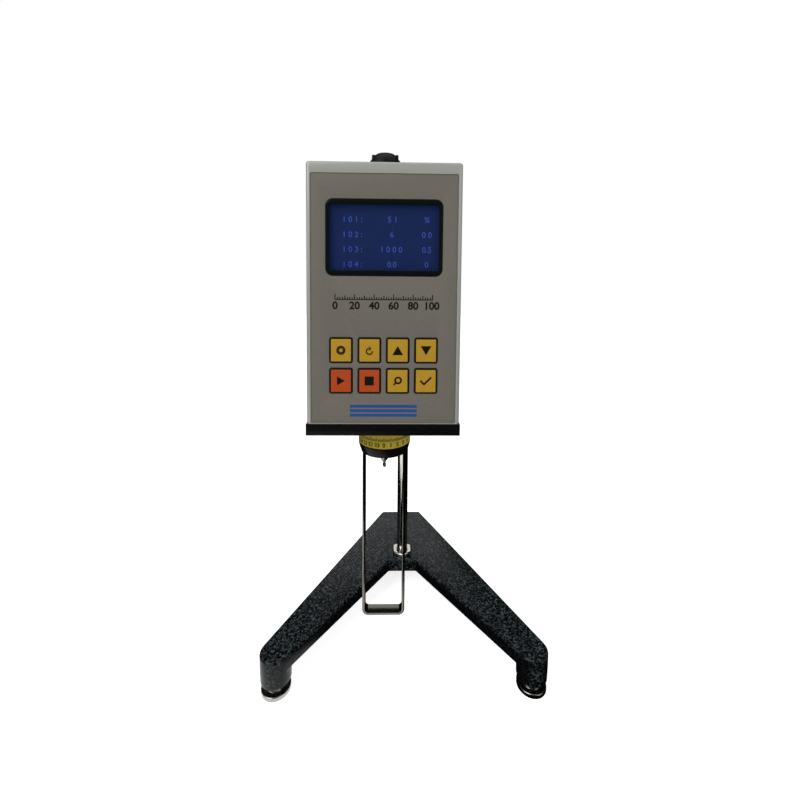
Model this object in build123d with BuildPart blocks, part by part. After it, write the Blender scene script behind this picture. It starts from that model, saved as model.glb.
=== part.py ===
from build123d import *
import os
from math import acos, atan2, cos, degrees, hypot, pi, radians, sin, tan

# Rotational viscometer on a rack stand, in millimetres. +Z is up and the front faces -Y.
# The origin is on the table, in the middle of the space that the instrument takes up.

# Base casting
base_thick = 11.5
base_skin = 5.0
base_wall = 4.5
base_rib = 4.0
base_edge_bevel = 1.4
base_rear_gap = 84.0
base_rear_half = 25.5
base_rear_corner = 4.0
notch_half = 15.5
notch_round = 2.5
arm_end_r = 13.5
foot_spread = 223.0
front_foot_gap = 125.5
rear_foot_gap = 62.0
foot_boss_drop = 12.5
foot_boss_draft = 2.0
column_boss_r = 16.0
column_boss_cover = 0.4
column_boss_thick = 5.5
nut_pocket_r = 13.0

# Levelling feet
foot_disc_r = 12.7
foot_disc_thick = 4.0
foot_hub_r = 8.0
foot_hub_thick = 2.2
foot_stud_r = 4.0
foot_stud_length = 22.0
foot_hole_skin = 3.5
foot_gap = 4.8

# Column and rack
column_r = 6.0
column_tail = 0.6
nut_across_flats = 21.2
nut_thick = 4.6
lower_nut_thick = 5.0
cap_r = 8.2
cap_thick = 14.0
cap_seat = 8.0
rack_module = 0.7
rack_spare = 12.0
lift_up = 80.0
lift_down = 60.0
lift_stop_gap = 5.0

# Lift clamp
rod_above_plate = 44.5
rod_r = 6.0
rod_reach = 22.0
clamp_below_rod = 21.0
clamp_above_rod = 31.0
clamp_column_r = 13.0
clamp_rod_r = 11.5
clamp_rod_half = 18.0
pinion_above_rod = 16.0
pinion_teeth = 17
pinion_face = 12.0
pinion_shaft_r = 3.5
pinion_boss_r = 10.5
pinion_boss_right = 17.0
pinion_boss_left = 13.0
bush_length = 8.0
lift_knob_r = 17.0
lift_knob_width = 20.0
lift_knob_gap = 1.5
tension_below_rod = 10.0
thumb_r = 4.0
thumb_knob_r = 9.0
thumb_knob_width = 13.0
thumb_gap = 2.0
shoe_length = 3.2

# Head housing
head_shift = 18.5
face_gap = 186.0
axis_behind_face = 46.0
rear_space = 21.5
board_side_gap = 3.0
plate_low = 247.5
plate_thick = 8.0
plate_lip = 0.5
keys_above_plate = 40.55
screen_above_keys = 86.65
screen_below_top = 50.3
housing_wall = 3.0
face_wall = 3.5
housing_round = 2.2
cover_thick = 2.5
cover_inset = 0.3
cover_fit = 0.2
block_side = 8.0
block_deep = 10.0
screw_r = 1.5
screw_head_r = 2.8
screw_head_thick = 1.8
screw_length = 8.0

# Front overlay, screen and keys
side_band = 3.0
top_band = 7.9
overlay_low_gap = 0.6
overlay_thick = 1.0
recess_deep = 1.5
frame_side_border = 2.6
frame_top_border = 3.8
frame_round = 5.0
frame_thick = 1.2
view_width = 73.7
view_height = 43.9
view_round = 1.5
window_margin = 2.2
window_thick = 2.0
panel_fit = 0.15
key_width = 15.9
key_height = 17.7
key_round = 1.6
key_pitch_x = 19.3
key_pitch_z = 21.0
key_travel = 0.4
key_seat_gap = 0.1
key_stem_r = 3.0
key_columns = 4
key_rows = 2
dome_r = 4.0
dome_thick = 1.0
dome_gap = 0.6

# Boards
board_thick = 1.6
screen_glass_thick = 2.6
screen_can_thick = 5.3
screen_board_width = 93.0
screen_board_height = 70.0
keypad_board_side = 2.6
keypad_board_rise = 5.65
main_board_height = 76.0
main_board_rise = 6.5
main_board_gap = 13.4
chip_side = 14.0
chip_thick = 2.0
connector_length = 22.0
connector_width = 6.0
connector_thick = 3.5
power_board_height = 34.0
power_board_gap = 6.0
power_board_top_gap = 4.0
transformer_side = 26.0
transformer_deep = 10.0
capacitor_r = 5.0
capacitor_deep = 9.0

# Boss, guard and rotor coupling
boss_over_ring = 1.8
label_thick = 0.4
boss_drop = 20.5
boss_flange_r = 26.0
boss_flange_thick = 4.0
spigot_r = 13.5
spigot_length = 6.5
boss_bore_r = 8.0
bearing_r = 6.5
bearing_rise = 6.0
bearing_thick = 5.0
guard_ring_height = 8.0
guard_ring_edge = 1.2
guard_seat_gap = 1.5
guard_strip = 9.0
guard_thick = 2.2
guard_reach = 145.2
guard_top_gap = 2.0
guard_round = 3.6
spindle_r = 2.0
spindle_seat = 5.5
coupling_gap = 1.0
coupling_r = 3.3
coupling_body = 8.0
coupling_cone = 3.2
coupling_neck = 1.6
coupling_neck_r = 1.1
stud_r = 1.35
stud_length = 2.8
stud_round = 0.5

# Drive train
gear_module = 0.6
drive_teeth = 72
motor_teeth = 18
gear_backlash = 0.12
gear_thick = 5.0
motor_plate_rise = 94.5
motor_plate_thick = 4.0
motor_side = 35.0
motor_height = 34.0
motor_pilot_r = 11.0
motor_shaft_r = 2.5
hub_r = 5.0
hub_flange_r = 7.0
pivot_r = 1.0
disc_r = 20.0
disc_thick = 1.5
upper_disc_drop = 18.5
disc_spacing = 11.5
spring_drop = 4.1
spring_height = 1.2
spring_turns = 4
spring_strip = 0.4
spring_pitch = 1.9
collet_r = 3.6
pillar_r = 4.0
pillar_inset = 9.0
pillar_front = 18.0
back_frame_thick = 4.0
back_frame_foot = 18.0
frame_side_gap = 9.5

# Level
level_behind_face = 16.0
pad_r = 11.6
pad_thick = 3.3
level_r = 10.6
level_top_r = 6.6
level_height = 5.4
vial_r = 5.4
level_screw_r = 1.5
level_screw_circle = 8.9
level_screw_height = 3.6

# Sockets and switch in the rear cover
service_rise = 20.0
service_spread = 30.0
jack_r = 5.5
jack_hole_r = 3.2
probe_r = 4.0
probe_hole_r = 1.8
switch_width = 12.6
switch_height = 19.0
switch_bezel = 1.4
rocker_tilt = 9.0

# Clearances
running_fit = 0.05
seat_fit = 0.02
loose_fit = 0.3

# Heights of the base
foot_boss_low = foot_disc_thick + foot_hub_thick + foot_gap
base_low = foot_boss_low + foot_boss_drop
base_top = base_low + base_thick
foot_stud_top = foot_disc_thick + foot_stud_length
foot_hole_top = base_top - foot_hole_skin
column_boss_low = base_top - column_boss_thick
column_low = column_boss_low - lower_nut_thick - column_tail

# Heights of the head, the lift and the column
plate_top = plate_low + plate_thick
keypad_middle = plate_top + keys_above_plate
screen_centre_height = keypad_middle + screen_above_keys
head_top = screen_centre_height + screen_below_top
housing_height = head_top - plate_top
rod_height = plate_top + rod_above_plate
clamp_low = rod_height - clamp_below_rod
clamp_top = rod_height + clamp_above_rod
pinion_height = rod_height + pinion_above_rod
column_top = clamp_top + lift_up + lift_stop_gap + cap_seat
rack_pitch = pi * rack_module
rack_low = pinion_height - lift_down - rack_spare
rack_teeth = int((lift_up + lift_down + 2 * rack_spare) / rack_pitch) + 1

# Heights below the head, from the boss down to the rotor stud
boss_low = plate_low - boss_drop
spigot_low = boss_low - spigot_length
bearing_low = boss_low + bearing_rise
guard_ring_low = boss_low - guard_ring_height
guard_top = boss_low - guard_top_gap
guard_low = boss_low - guard_reach
coupling_top = spigot_low - coupling_gap
spindle_low = coupling_top - spindle_seat
coupling_cone_top = coupling_top - coupling_body
coupling_neck_top = coupling_cone_top - coupling_cone
stud_top = coupling_neck_top - coupling_neck
stud_low = stud_top - stud_length

# Heights of the drive and of the boards
motor_plate_low = plate_top + motor_plate_rise
motor_low = motor_plate_low + motor_plate_thick
drive_gear_low = motor_plate_low - gear_thick - 4.0
upper_disc_low = motor_plate_low - upper_disc_drop
lower_disc_low = upper_disc_low - disc_spacing
spring_low = upper_disc_low - spring_drop
service_height = motor_plate_low + service_rise
main_board_low = plate_top + main_board_rise
power_board_low = head_top - housing_wall - power_board_top_gap - power_board_height
level_low = head_top + pad_thick

# Widths and radii that follow from others
frame_width = view_width + 2 * frame_side_border
frame_height = view_height + 2 * frame_top_border
head_width = screen_board_width + 2 * board_side_gap + 2 * housing_wall
inner_half = head_width / 2 - housing_wall
overlay_width = head_width - 2 * side_band
overlay_height = housing_height - top_band - overlay_low_gap
keypad_board_width = (key_columns - 1) * key_pitch_x + key_width + 2 * keypad_board_side
keypad_board_height = (key_rows - 1) * key_pitch_z + key_height + 2 * keypad_board_rise
frame_half = inner_half - frame_side_gap
pillar_spread = 2 * (frame_half - pillar_inset)
guard_width = 2 * (spigot_r + guard_seat_gap + guard_thick)
guard_ring_low_r = guard_width / 2 + guard_ring_edge
boss_r = guard_ring_low_r + boss_over_ring
column_bolt_r = column_r + seat_fit

# Depths, from front to back
drive_centre = gear_module * (drive_teeth + motor_teeth) / 2
head_depth = axis_behind_face + drive_centre + motor_side / 2 + rear_space
column_y = (face_gap + plate_lip - base_rear_gap) / 2
face_y = column_y - face_gap
recess_y = face_y + recess_deep
face_inner_y = face_y + face_wall
axis_y = face_y + axis_behind_face
motor_y = axis_y + drive_centre
head_rear_y = face_y + head_depth
head_mid_y = face_y + head_depth / 2
cover_back_y = head_rear_y - cover_inset
cover_inner_y = cover_back_y - cover_thick
level_y = face_y + level_behind_face
rod_y_end = column_y + rod_reach
pinion_pitch_r = rack_module * pinion_teeth / 2
pinion_y = column_y + column_r - rack_module + pinion_pitch_r
base_rear_y = column_y + base_rear_gap
notch_y = column_y - column_boss_r - column_boss_cover
front_foot_y = column_y - front_foot_gap
rear_foot_y = column_y + rear_foot_gap
foot_half = foot_spread / 2
foot_places = {
    "foot_left": (-foot_half, front_foot_y),
    "foot_right": (foot_half, front_foot_y),
    "foot_rear": (0, rear_foot_y),
}
head_x = -head_shift


def front_plane(y):
    """A sketch plane at depth y that faces the front; extruding goes towards the front."""
    return Plane.XZ.offset(-y)


def side_plane(x):
    """A sketch plane at x that faces right, with Y across and Z up."""
    return Plane.YZ.offset(x)


def base_outline():
    """Top view of the base: a trapezoid behind, and an arm to each front foot."""
    Polygon(
        (-base_rear_half, base_rear_y),
        (base_rear_half, base_rear_y),
        (notch_half, notch_y),
        (-notch_half, notch_y),
        align=None,
    )
    for side in (-1, 1):
        root = Edge.make_line((side * base_rear_half, base_rear_y), (side * notch_half, notch_y))
        end = Edge.make_circle(arm_end_r, Plane((side * foot_half, front_foot_y, 0)))
        make_hull([root, end])


def tooth_half_angle(radius, pitch_r, teeth, backlash):
    """Half the angle that an involute tooth takes up at a radius, in radians."""
    pressure = radians(20)
    base_r = pitch_r * cos(pressure)
    here = acos(min(1.0, base_r / radius))
    spread = tan(pressure) - pressure - (tan(here) - here)
    return pi / (2 * teeth) - backlash / (2 * pitch_r) + spread


def toothed_disc(module, teeth, backlash, first_tooth):
    """A gear's face, with the middle of one tooth at the angle first_tooth in degrees."""
    pitch_r = module * teeth / 2
    tip_r = pitch_r + module
    root_r = pitch_r - 1.25 * module
    Circle(tip_r)
    flank = []
    for step in range(3):
        radius = root_r + (tip_r - root_r) * step / 2
        gap = pi / teeth - tooth_half_angle(radius, pitch_r, teeth, backlash)
        flank.append((radius, gap))
    right = [(radius * cos(gap), radius * sin(gap)) for radius, gap in flank]
    left = [(radius * cos(gap), -radius * sin(gap)) for radius, gap in reversed(flank)]
    beyond = (tip_r / cos(flank[-1][1]) + module, 0)
    with PolarLocations(0, teeth, start_angle=first_tooth + 180 / teeth):
        Polygon(*right, beyond, *left, align=None, mode=Mode.SUBTRACT)


def round_bar(y, z, radius):
    """A circle on a side plane, for bars and bores that lie along X."""
    with Locations((y, z)):
        Circle(radius)


# Base casting: top plate with a hollow underside, ribs, foot bosses and the lower nut's pocket
with BuildPart() as base_casting:
    with BuildSketch(Plane.XY.offset(base_low)) as outline:
        base_outline()
        fillet(outline.vertices().sort_by(Axis.Y)[-2:], base_rear_corner)
        with Locations((0, column_y)):
            Circle(column_bolt_r, mode=Mode.SUBTRACT)
    extrude(amount=base_thick)
    notch_corners = base_casting.edges().filter_by(Axis.Z).filter_by_position(
        Axis.Y, notch_y - 0.1, notch_y + 0.1
    )
    fillet(notch_corners, notch_round)
    chamfer(base_casting.faces().sort_by(Axis.Z)[-1].outer_wire().edges(), base_edge_bevel)
    with BuildSketch(Plane.XY.offset(base_low)):
        base_outline()
        offset(amount=-base_wall, kind=Kind.INTERSECTION)
        with Locations(*foot_places.values()):
            Circle(arm_end_r, mode=Mode.SUBTRACT)
        with Locations((0, column_y)):
            Circle(column_boss_r, mode=Mode.SUBTRACT)
        for foot_x, foot_y in foot_places.values():
            rib_angle = degrees(atan2(foot_y - column_y, foot_x))
            with Locations((foot_x / 2, (foot_y + column_y) / 2)):
                Rectangle(
                    hypot(foot_x, foot_y - column_y),
                    base_rib,
                    rotation=rib_angle,
                    mode=Mode.SUBTRACT,
                )
    extrude(amount=base_thick - base_skin, mode=Mode.SUBTRACT)
    with BuildSketch(Plane.XY.offset(base_low)):
        with Locations(*foot_places.values()):
            Circle(arm_end_r)
    extrude(amount=-(base_low - foot_boss_low), taper=foot_boss_draft)
    with BuildSketch(Plane.XY.offset(base_low)):
        with Locations((0, column_y)):
            Circle(nut_pocket_r)
    extrude(amount=column_boss_low - base_low, mode=Mode.SUBTRACT)
    with BuildSketch(Plane.XY.offset(foot_boss_low)):
        with Locations(*foot_places.values()):
            Circle(foot_stud_r + running_fit)
    extrude(amount=foot_hole_top - foot_boss_low, mode=Mode.SUBTRACT)
base_casting.part.label = "base_casting"
export_step(base_casting.part, "parts/base_casting.step")

# Levelling feet: a disc and hub turned in one with the screw that goes up into the boss
for foot_name, (foot_x, foot_y) in foot_places.items():
    with BuildPart() as foot:
        with BuildSketch():
            with Locations((foot_x, foot_y)):
                Circle(foot_disc_r)
        extrude(amount=foot_disc_thick)
        chamfer(foot.edges().filter_by(GeomType.CIRCLE), 0.5)
        with BuildSketch(Plane.XY.offset(foot_disc_thick)):
            with Locations((foot_x, foot_y)):
                Circle(foot_hub_r)
        extrude(amount=foot_hub_thick)
        with BuildSketch(Plane.XY.offset(foot_disc_thick)):
            with Locations((foot_x, foot_y)):
                Circle(foot_stud_r)
        extrude(amount=foot_stud_top - foot_disc_thick)
        chamfer(foot.edges().filter_by(GeomType.CIRCLE).sort_by(Axis.Z)[-1], 0.6)
    foot.part.label = foot_name
    export_step(foot.part, f"parts/{foot_name}.step")

# Column: plain round bar with rack teeth cut along its back
with BuildPart() as column:
    with BuildSketch(Plane.XY.offset(column_low)):
        with Locations((0, column_y)):
            Circle(column_r)
    extrude(amount=column_top - column_low)
    chamfer(column.edges().filter_by(GeomType.CIRCLE), 0.8)
    with BuildSketch(side_plane(-column_r - 1)):
        tooth_depth = 2.25 * rack_module
        root_half = rack_pitch / 4 - 1.25 * rack_module * tan(radians(20)) + gear_backlash / 2
        tip_half = rack_pitch / 4 + rack_module * tan(radians(20)) + gear_backlash / 2
        first_gap = pinion_height - round((pinion_height - rack_low) / rack_pitch) * rack_pitch
        with Locations(*[(column_y + column_r, first_gap + i * rack_pitch) for i in range(rack_teeth)]):
            Polygon(
                (-tooth_depth, -root_half),
                (0.5, -tip_half - 0.18),
                (0.5, tip_half + 0.18),
                (-tooth_depth, root_half),
                align=None,
            )
    extrude(amount=2 * column_r + 2, mode=Mode.SUBTRACT)
column.part.label = "column"
export_step(column.part, "parts/column.step")

# Hexagon nuts of the column, a thin one on the base and one below the boss, a corner to the front
with BuildPart() as column_nuts:
    for nut_low, height in ((base_top, nut_thick), (column_boss_low - lower_nut_thick, lower_nut_thick)):
        with BuildSketch(Plane.XY.offset(nut_low)):
            with Locations((0, column_y)):
                RegularPolygon(nut_across_flats / 2, 6, major_radius=False, rotation=30)
                Circle(column_bolt_r, mode=Mode.SUBTRACT)
        extrude(amount=height)
    chamfer(column_nuts.faces().sort_by(Axis.Z)[-1].outer_wire().edges(), 0.6)
column_nuts.part.label = "column_nuts"
export_step(column_nuts.part, "parts/column_nuts.step")

# Cap that stops the lift at the top of the column
with BuildPart() as column_cap:
    with BuildSketch(Plane.XY.offset(column_top - cap_seat)):
        with Locations((0, column_y)):
            Circle(cap_r)
    extrude(amount=cap_thick)
    chamfer(column_cap.edges().sort_by(Axis.Z)[-1], 2.0)
    with BuildSketch(Plane.XY.offset(column_top - cap_seat)):
        with Locations((0, column_y)):
            Circle(column_bolt_r)
    extrude(amount=cap_seat, mode=Mode.SUBTRACT)
column_cap.part.label = "column_cap"
export_step(column_cap.part, "parts/column_cap.step")

# Lift clamp: body round the column, a barrel for the head's rod and a barrel for the pinion
tension_height = rod_height - tension_below_rod
rod_barrel_left = head_x - clamp_rod_r
shoe_bore_end = clamp_column_r + 1.0
with BuildPart() as lift_clamp:
    with BuildSketch(Plane.XY.offset(clamp_low)):
        with Locations((0, column_y)):
            Circle(clamp_column_r)
    extrude(amount=clamp_top - clamp_low)
    chamfer(lift_clamp.edges().filter_by(GeomType.CIRCLE), 1.2)
    with BuildSketch(Plane.XY.offset(rod_height - clamp_rod_r + 1.5)):
        with Locations((head_x / 2, column_y)):
            Rectangle(head_shift, 1.5 * clamp_column_r)
    extrude(amount=2 * clamp_rod_r - 3.0)
    with BuildSketch(front_plane(column_y + clamp_rod_half)):
        with Locations((head_x, rod_height)):
            Circle(clamp_rod_r)
    extrude(amount=2 * clamp_rod_half)
    with BuildSketch(side_plane(-pinion_boss_left)):
        round_bar(pinion_y, pinion_height, pinion_boss_r)
    extrude(amount=pinion_boss_left + pinion_boss_right)
    with BuildSketch(side_plane(0)):
        round_bar(column_y, tension_height, thumb_r + 3.0)
    extrude(amount=shoe_bore_end)
    with BuildSketch(side_plane(rod_barrel_left - 2.0)):
        round_bar(column_y, rod_height, thumb_r + 3.0)
    extrude(amount=clamp_rod_r)
    with BuildSketch(Plane.XY.offset(clamp_low)):
        with Locations((0, column_y)):
            Circle(column_r + running_fit)
    extrude(amount=clamp_top - clamp_low, mode=Mode.SUBTRACT)
    with BuildSketch(front_plane(column_y + clamp_rod_half)):
        with Locations((head_x, rod_height)):
            Circle(rod_r + seat_fit)
    extrude(amount=2 * clamp_rod_half, mode=Mode.SUBTRACT)
    with BuildSketch(side_plane(-pinion_face / 2 - 2.0)):
        round_bar(pinion_y, pinion_height, pinion_pitch_r + rack_module + loose_fit)
    extrude(amount=pinion_face / 2 + 2.0 + pinion_boss_right, mode=Mode.SUBTRACT)
    with BuildSketch(side_plane(-pinion_boss_left + 2.0)):
        round_bar(pinion_y, pinion_height, pinion_shaft_r + running_fit)
    extrude(amount=pinion_boss_left, mode=Mode.SUBTRACT)
    with BuildSketch(side_plane(0)):
        round_bar(column_y, tension_height, thumb_r + running_fit)
    extrude(amount=shoe_bore_end, mode=Mode.SUBTRACT)
    with BuildSketch(side_plane(rod_barrel_left - 2.0)):
        round_bar(column_y, rod_height, thumb_r + running_fit)
    extrude(amount=clamp_rod_r, mode=Mode.SUBTRACT)
lift_clamp.part.label = "lift_clamp"
export_step(lift_clamp.part, "parts/lift_clamp.step")

# Bronze bush that closes the pinion's chamber and carries its shaft
with BuildPart() as pinion_bush:
    with BuildSketch(side_plane(pinion_boss_right - bush_length)):
        round_bar(pinion_y, pinion_height, pinion_pitch_r + rack_module + loose_fit - seat_fit)
    extrude(amount=bush_length)
    with BuildSketch(side_plane(pinion_boss_right - bush_length)):
        round_bar(pinion_y, pinion_height, pinion_shaft_r + running_fit)
    extrude(amount=bush_length, mode=Mode.SUBTRACT)
pinion_bush.part.label = "pinion_bush"
export_step(pinion_bush.part, "parts/pinion_bush.step")

# Pinion cut in one with its shaft
knob_left = pinion_boss_right + lift_knob_gap
with BuildPart() as lift_pinion:
    with BuildSketch(Plane((-pinion_face / 2, pinion_y, pinion_height), (0, 1, 0), (1, 0, 0))):
        toothed_disc(rack_module, pinion_teeth, gear_backlash, 180)
    extrude(amount=pinion_face)
    with BuildSketch(side_plane(-pinion_boss_left + 2.5)):
        round_bar(pinion_y, pinion_height, pinion_shaft_r)
    extrude(amount=pinion_boss_left - 2.5 + knob_left + lift_knob_width - 6.0)
lift_pinion.part.label = "lift_pinion"
export_step(lift_pinion.part, "parts/lift_pinion.step")

# Hand knob of the lift, scalloped round its rim
with BuildPart() as lift_knob:
    with BuildSketch(side_plane(knob_left)):
        round_bar(pinion_y, pinion_height, lift_knob_r * 0.62)
    extrude(amount=4.0)
    with BuildSketch(side_plane(knob_left + 4.0)):
        with Locations((pinion_y, pinion_height)):
            Circle(lift_knob_r)
            with PolarLocations(lift_knob_r + 2.2, 12):
                Circle(3.6, mode=Mode.SUBTRACT)
    extrude(amount=lift_knob_width - 4.0)
    chamfer(lift_knob.faces().sort_by(Axis.X)[-1].edges(), 1.2)
    with BuildSketch(side_plane(knob_left)):
        round_bar(pinion_y, pinion_height, pinion_shaft_r + seat_fit)
    extrude(amount=lift_knob_width - 6.0, mode=Mode.SUBTRACT)
lift_knob.part.label = "lift_knob"
export_step(lift_knob.part, "parts/lift_knob.step")

# Brass shoe that the tension knob presses on the column
with BuildPart() as friction_shoe:
    with BuildSketch(side_plane(0)):
        round_bar(column_y, tension_height, thumb_r)
    extrude(amount=column_r + shoe_length)
    with BuildSketch(Plane.XY.offset(clamp_low)):
        with Locations((0, column_y)):
            Circle(column_r + 2 * running_fit)
    extrude(amount=clamp_top - clamp_low, mode=Mode.SUBTRACT)
friction_shoe.part.label = "friction_shoe"
export_step(friction_shoe.part, "parts/friction_shoe.step")

# Fluted thumb screws: the tension screw on the right, and the rod's screw on the left
thumb_screws = {
    "tension_screw": (tension_height, column_r + shoe_length + 0.2, shoe_bore_end, 1),
    "rod_screw": (rod_height, head_x - rod_r - 0.2, rod_barrel_left - 2.0, -1),
}
for screw_name, (screw_z, tip_x, seat_x, side) in thumb_screws.items():
    knob_x = seat_x + side * thumb_gap
    with BuildPart() as thumb_screw:
        with BuildSketch(side_plane(tip_x)):
            round_bar(column_y, screw_z, thumb_r)
        extrude(amount=knob_x + side * 2.0 - tip_x)
        with BuildSketch(side_plane(knob_x)):
            with Locations((column_y, screw_z)):
                Circle(thumb_knob_r)
                with PolarLocations(thumb_knob_r + 1.0, 8):
                    Circle(2.0, mode=Mode.SUBTRACT)
        extrude(amount=side * thumb_knob_width)
        chamfer(thumb_screw.faces().sort_by(Axis.X)[-1 if side == 1 else 0].edges(), 0.8)
    thumb_screw.part.label = screw_name
    export_step(thumb_screw.part, f"parts/{screw_name}.step")

# Rod that carries the head: spigot in the back frame, flange on the rear cover, plain bar behind
spigot_deep = 8.0
frame_back_y = cover_inner_y
frame_front_y = frame_back_y - back_frame_thick
with BuildPart() as handle_rod:
    with BuildSketch(front_plane(rod_y_end)):
        with Locations((head_x, rod_height)):
            Circle(rod_r)
    extrude(amount=rod_y_end - cover_back_y)
    chamfer(handle_rod.edges().filter_by(GeomType.CIRCLE).sort_by(Axis.Y)[-1], 1.0)
    with BuildSketch(front_plane(cover_back_y + 4.0)):
        with Locations((head_x, rod_height)):
            Circle(2 * rod_r)
    extrude(amount=4.0)
    with BuildSketch(front_plane(cover_back_y)):
        with Locations((head_x, rod_height)):
            Circle(rod_r - 1.0)
    extrude(amount=cover_back_y - frame_front_y + spigot_deep)
handle_rod.part.label = "handle_rod"
export_step(handle_rod.part, "parts/handle_rod.step")

# Screw places on the bottom plate and on the rear cover, from the housing's corner blocks
block_x = inner_half - block_side / 2
bottom_screws = [
    (head_x + side * block_x, y)
    for side in (-1, 1)
    for y in (face_inner_y + block_deep / 2, cover_inner_y - block_deep / 2)
]
cover_screw_low = plate_top + block_side / 2 + 10.0
cover_screw_high = head_top - housing_wall - block_side / 2
cover_screws = [
    (head_x + side * block_x, z) for side in (-1, 1) for z in (cover_screw_low, cover_screw_high)
]

# Places of the eight keys, row by row from the upper left
key_places = [
    (
        head_x + (i - (key_columns - 1) / 2) * key_pitch_x,
        keypad_middle + ((key_rows - 1) / 2 - j) * key_pitch_z,
    )
    for j in range(key_rows)
    for i in range(key_columns)
]
overlay_middle = plate_top + overlay_low_gap + overlay_height / 2
key_thick = recess_deep - key_travel - key_seat_gap
key_back_y = face_y + key_thick
stem_back_y = face_inner_y + 1.2
keypad_board_y = stem_back_y + dome_gap + dome_thick
screen_glass_y = recess_y + window_thick + 0.2
screen_can_y = screen_glass_y + screen_glass_thick
screen_board_y = screen_can_y + screen_can_thick
main_board_y = face_inner_y + main_board_gap
screen_posts = [
    (head_x + i * (screen_board_width / 2 - 2.5), screen_centre_height + j * (screen_board_height / 2 - 2.5))
    for i in (-1, 1)
    for j in (-1, 1)
]
keypad_posts = [
    (head_x + i * (keypad_board_width / 2 - 1.5), keypad_middle + j * (keypad_board_height / 2 - 2.5))
    for i in (-1, 1)
    for j in (-1, 1)
]
main_posts = [
    (head_x + i * (screen_board_width / 2 - 3.0), z)
    for i in (-1, 1)
    for z in (main_board_low + 6.0, main_board_low + main_board_height - 4.0)
]

# Housing: one shell with face, sides and top; open below and behind
with BuildPart() as housing:
    with BuildSketch(Plane.XY.offset(plate_top)) as footprint:
        with Locations((head_x, head_mid_y)):
            Rectangle(head_width, head_depth)
        fillet(footprint.vertices().sort_by(Axis.Y)[:2], housing_round)
    extrude(amount=housing_height)
    top_edges = housing.faces().sort_by(Axis.Z)[-1].edges().sort_by(Axis.Y)[:-1]
    fillet(top_edges, housing_round - 0.2)
    with BuildSketch(Plane.XY.offset(plate_top)):
        with Locations((head_x, (face_inner_y + head_rear_y) / 2)):
            Rectangle(2 * inner_half, head_rear_y - face_inner_y)
    extrude(amount=housing_height - housing_wall, mode=Mode.SUBTRACT)
    with BuildSketch(Plane.XY.offset(head_top - housing_wall)):
        with Locations((head_x, level_y)):
            Circle(pad_r)
    extrude(amount=housing_wall + pad_thick)
    chamfer(housing.edges().filter_by(GeomType.CIRCLE).sort_by(Axis.Z)[-1], 0.6)
    with BuildSketch(front_plane(recess_y)) as overlay_recess:
        with Locations((head_x, overlay_middle)):
            Rectangle(overlay_width + 2 * panel_fit, overlay_height + 2 * panel_fit)
        fillet(overlay_recess.vertices(), 1.2)
    extrude(amount=recess_deep, mode=Mode.SUBTRACT)
    with BuildSketch(front_plane(face_inner_y)):
        with Locations((head_x, screen_centre_height)):
            Rectangle(view_width + 2 * window_margin, view_height + 2 * window_margin)
        with Locations(*key_places):
            Circle(key_stem_r + loose_fit)
    extrude(amount=face_wall, mode=Mode.SUBTRACT)
    for posts, radius, reach in (
        (screen_posts, 2.3, screen_board_y),
        (keypad_posts, 1.5, keypad_board_y),
        (main_posts, 3.0, main_board_y),
    ):
        with BuildSketch(front_plane(reach)):
            with Locations(*posts):
                Circle(radius)
        extrude(amount=reach - face_inner_y)
    with BuildSketch(Plane.XY.offset(plate_top)):
        with Locations(*bottom_screws):
            Rectangle(block_side, block_deep)
    extrude(amount=block_side)
    with BuildSketch(front_plane(cover_inner_y)):
        with Locations(*cover_screws):
            Rectangle(block_side, block_side)
    extrude(amount=block_deep)
    with BuildSketch(Plane.XY.offset(plate_top)):
        with Locations(*bottom_screws):
            Circle(screw_r)
    extrude(amount=block_side, mode=Mode.SUBTRACT)
    with BuildSketch(front_plane(cover_inner_y)):
        with Locations(*cover_screws):
            Circle(screw_r)
    extrude(amount=block_deep, mode=Mode.SUBTRACT)
housing.part.label = "housing"
export_step(housing.part, "parts/housing.step")

# Rear cover: flat plate let in between the housing's walls, with holes for what it carries
switch_place = (head_x - service_spread, service_height)
jack_place = (head_x, service_height)
probe_place = (head_x + service_spread, service_height)
power_board_middle = power_board_low + power_board_height / 2
power_posts = [
    (head_x + i * (frame_half - 3.5), power_board_middle + j * (power_board_height / 2 - 4.0))
    for i in (-1, 1)
    for j in (-1, 1)
]
power_board_back_y = cover_inner_y - power_board_gap
cover_low = plate_top + cover_fit
cover_high = head_top - housing_wall - cover_fit
with BuildPart() as rear_cover:
    with BuildSketch(front_plane(cover_back_y)) as cover_face:
        with Locations((head_x, (cover_low + cover_high) / 2)):
            Rectangle(2 * (inner_half - cover_fit), cover_high - cover_low)
        fillet(cover_face.vertices(), 1.0)
        with Locations((head_x, rod_height)):
            Circle(rod_r - 1.0 + seat_fit, mode=Mode.SUBTRACT)
        with Locations(switch_place):
            Rectangle(switch_width + 0.1, switch_height + 0.1, mode=Mode.SUBTRACT)
        with Locations(jack_place):
            Circle(jack_r + running_fit, mode=Mode.SUBTRACT)
        with Locations(probe_place):
            Circle(probe_r + running_fit, mode=Mode.SUBTRACT)
        with Locations(*cover_screws):
            Circle(screw_r + running_fit, mode=Mode.SUBTRACT)
    extrude(amount=cover_thick)
    with BuildSketch(front_plane(cover_inner_y)):
        with Locations(*power_posts):
            Circle(2.5)
    extrude(amount=power_board_gap)
rear_cover.part.label = "rear_cover"
export_step(rear_cover.part, "parts/rear_cover.step")

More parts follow.
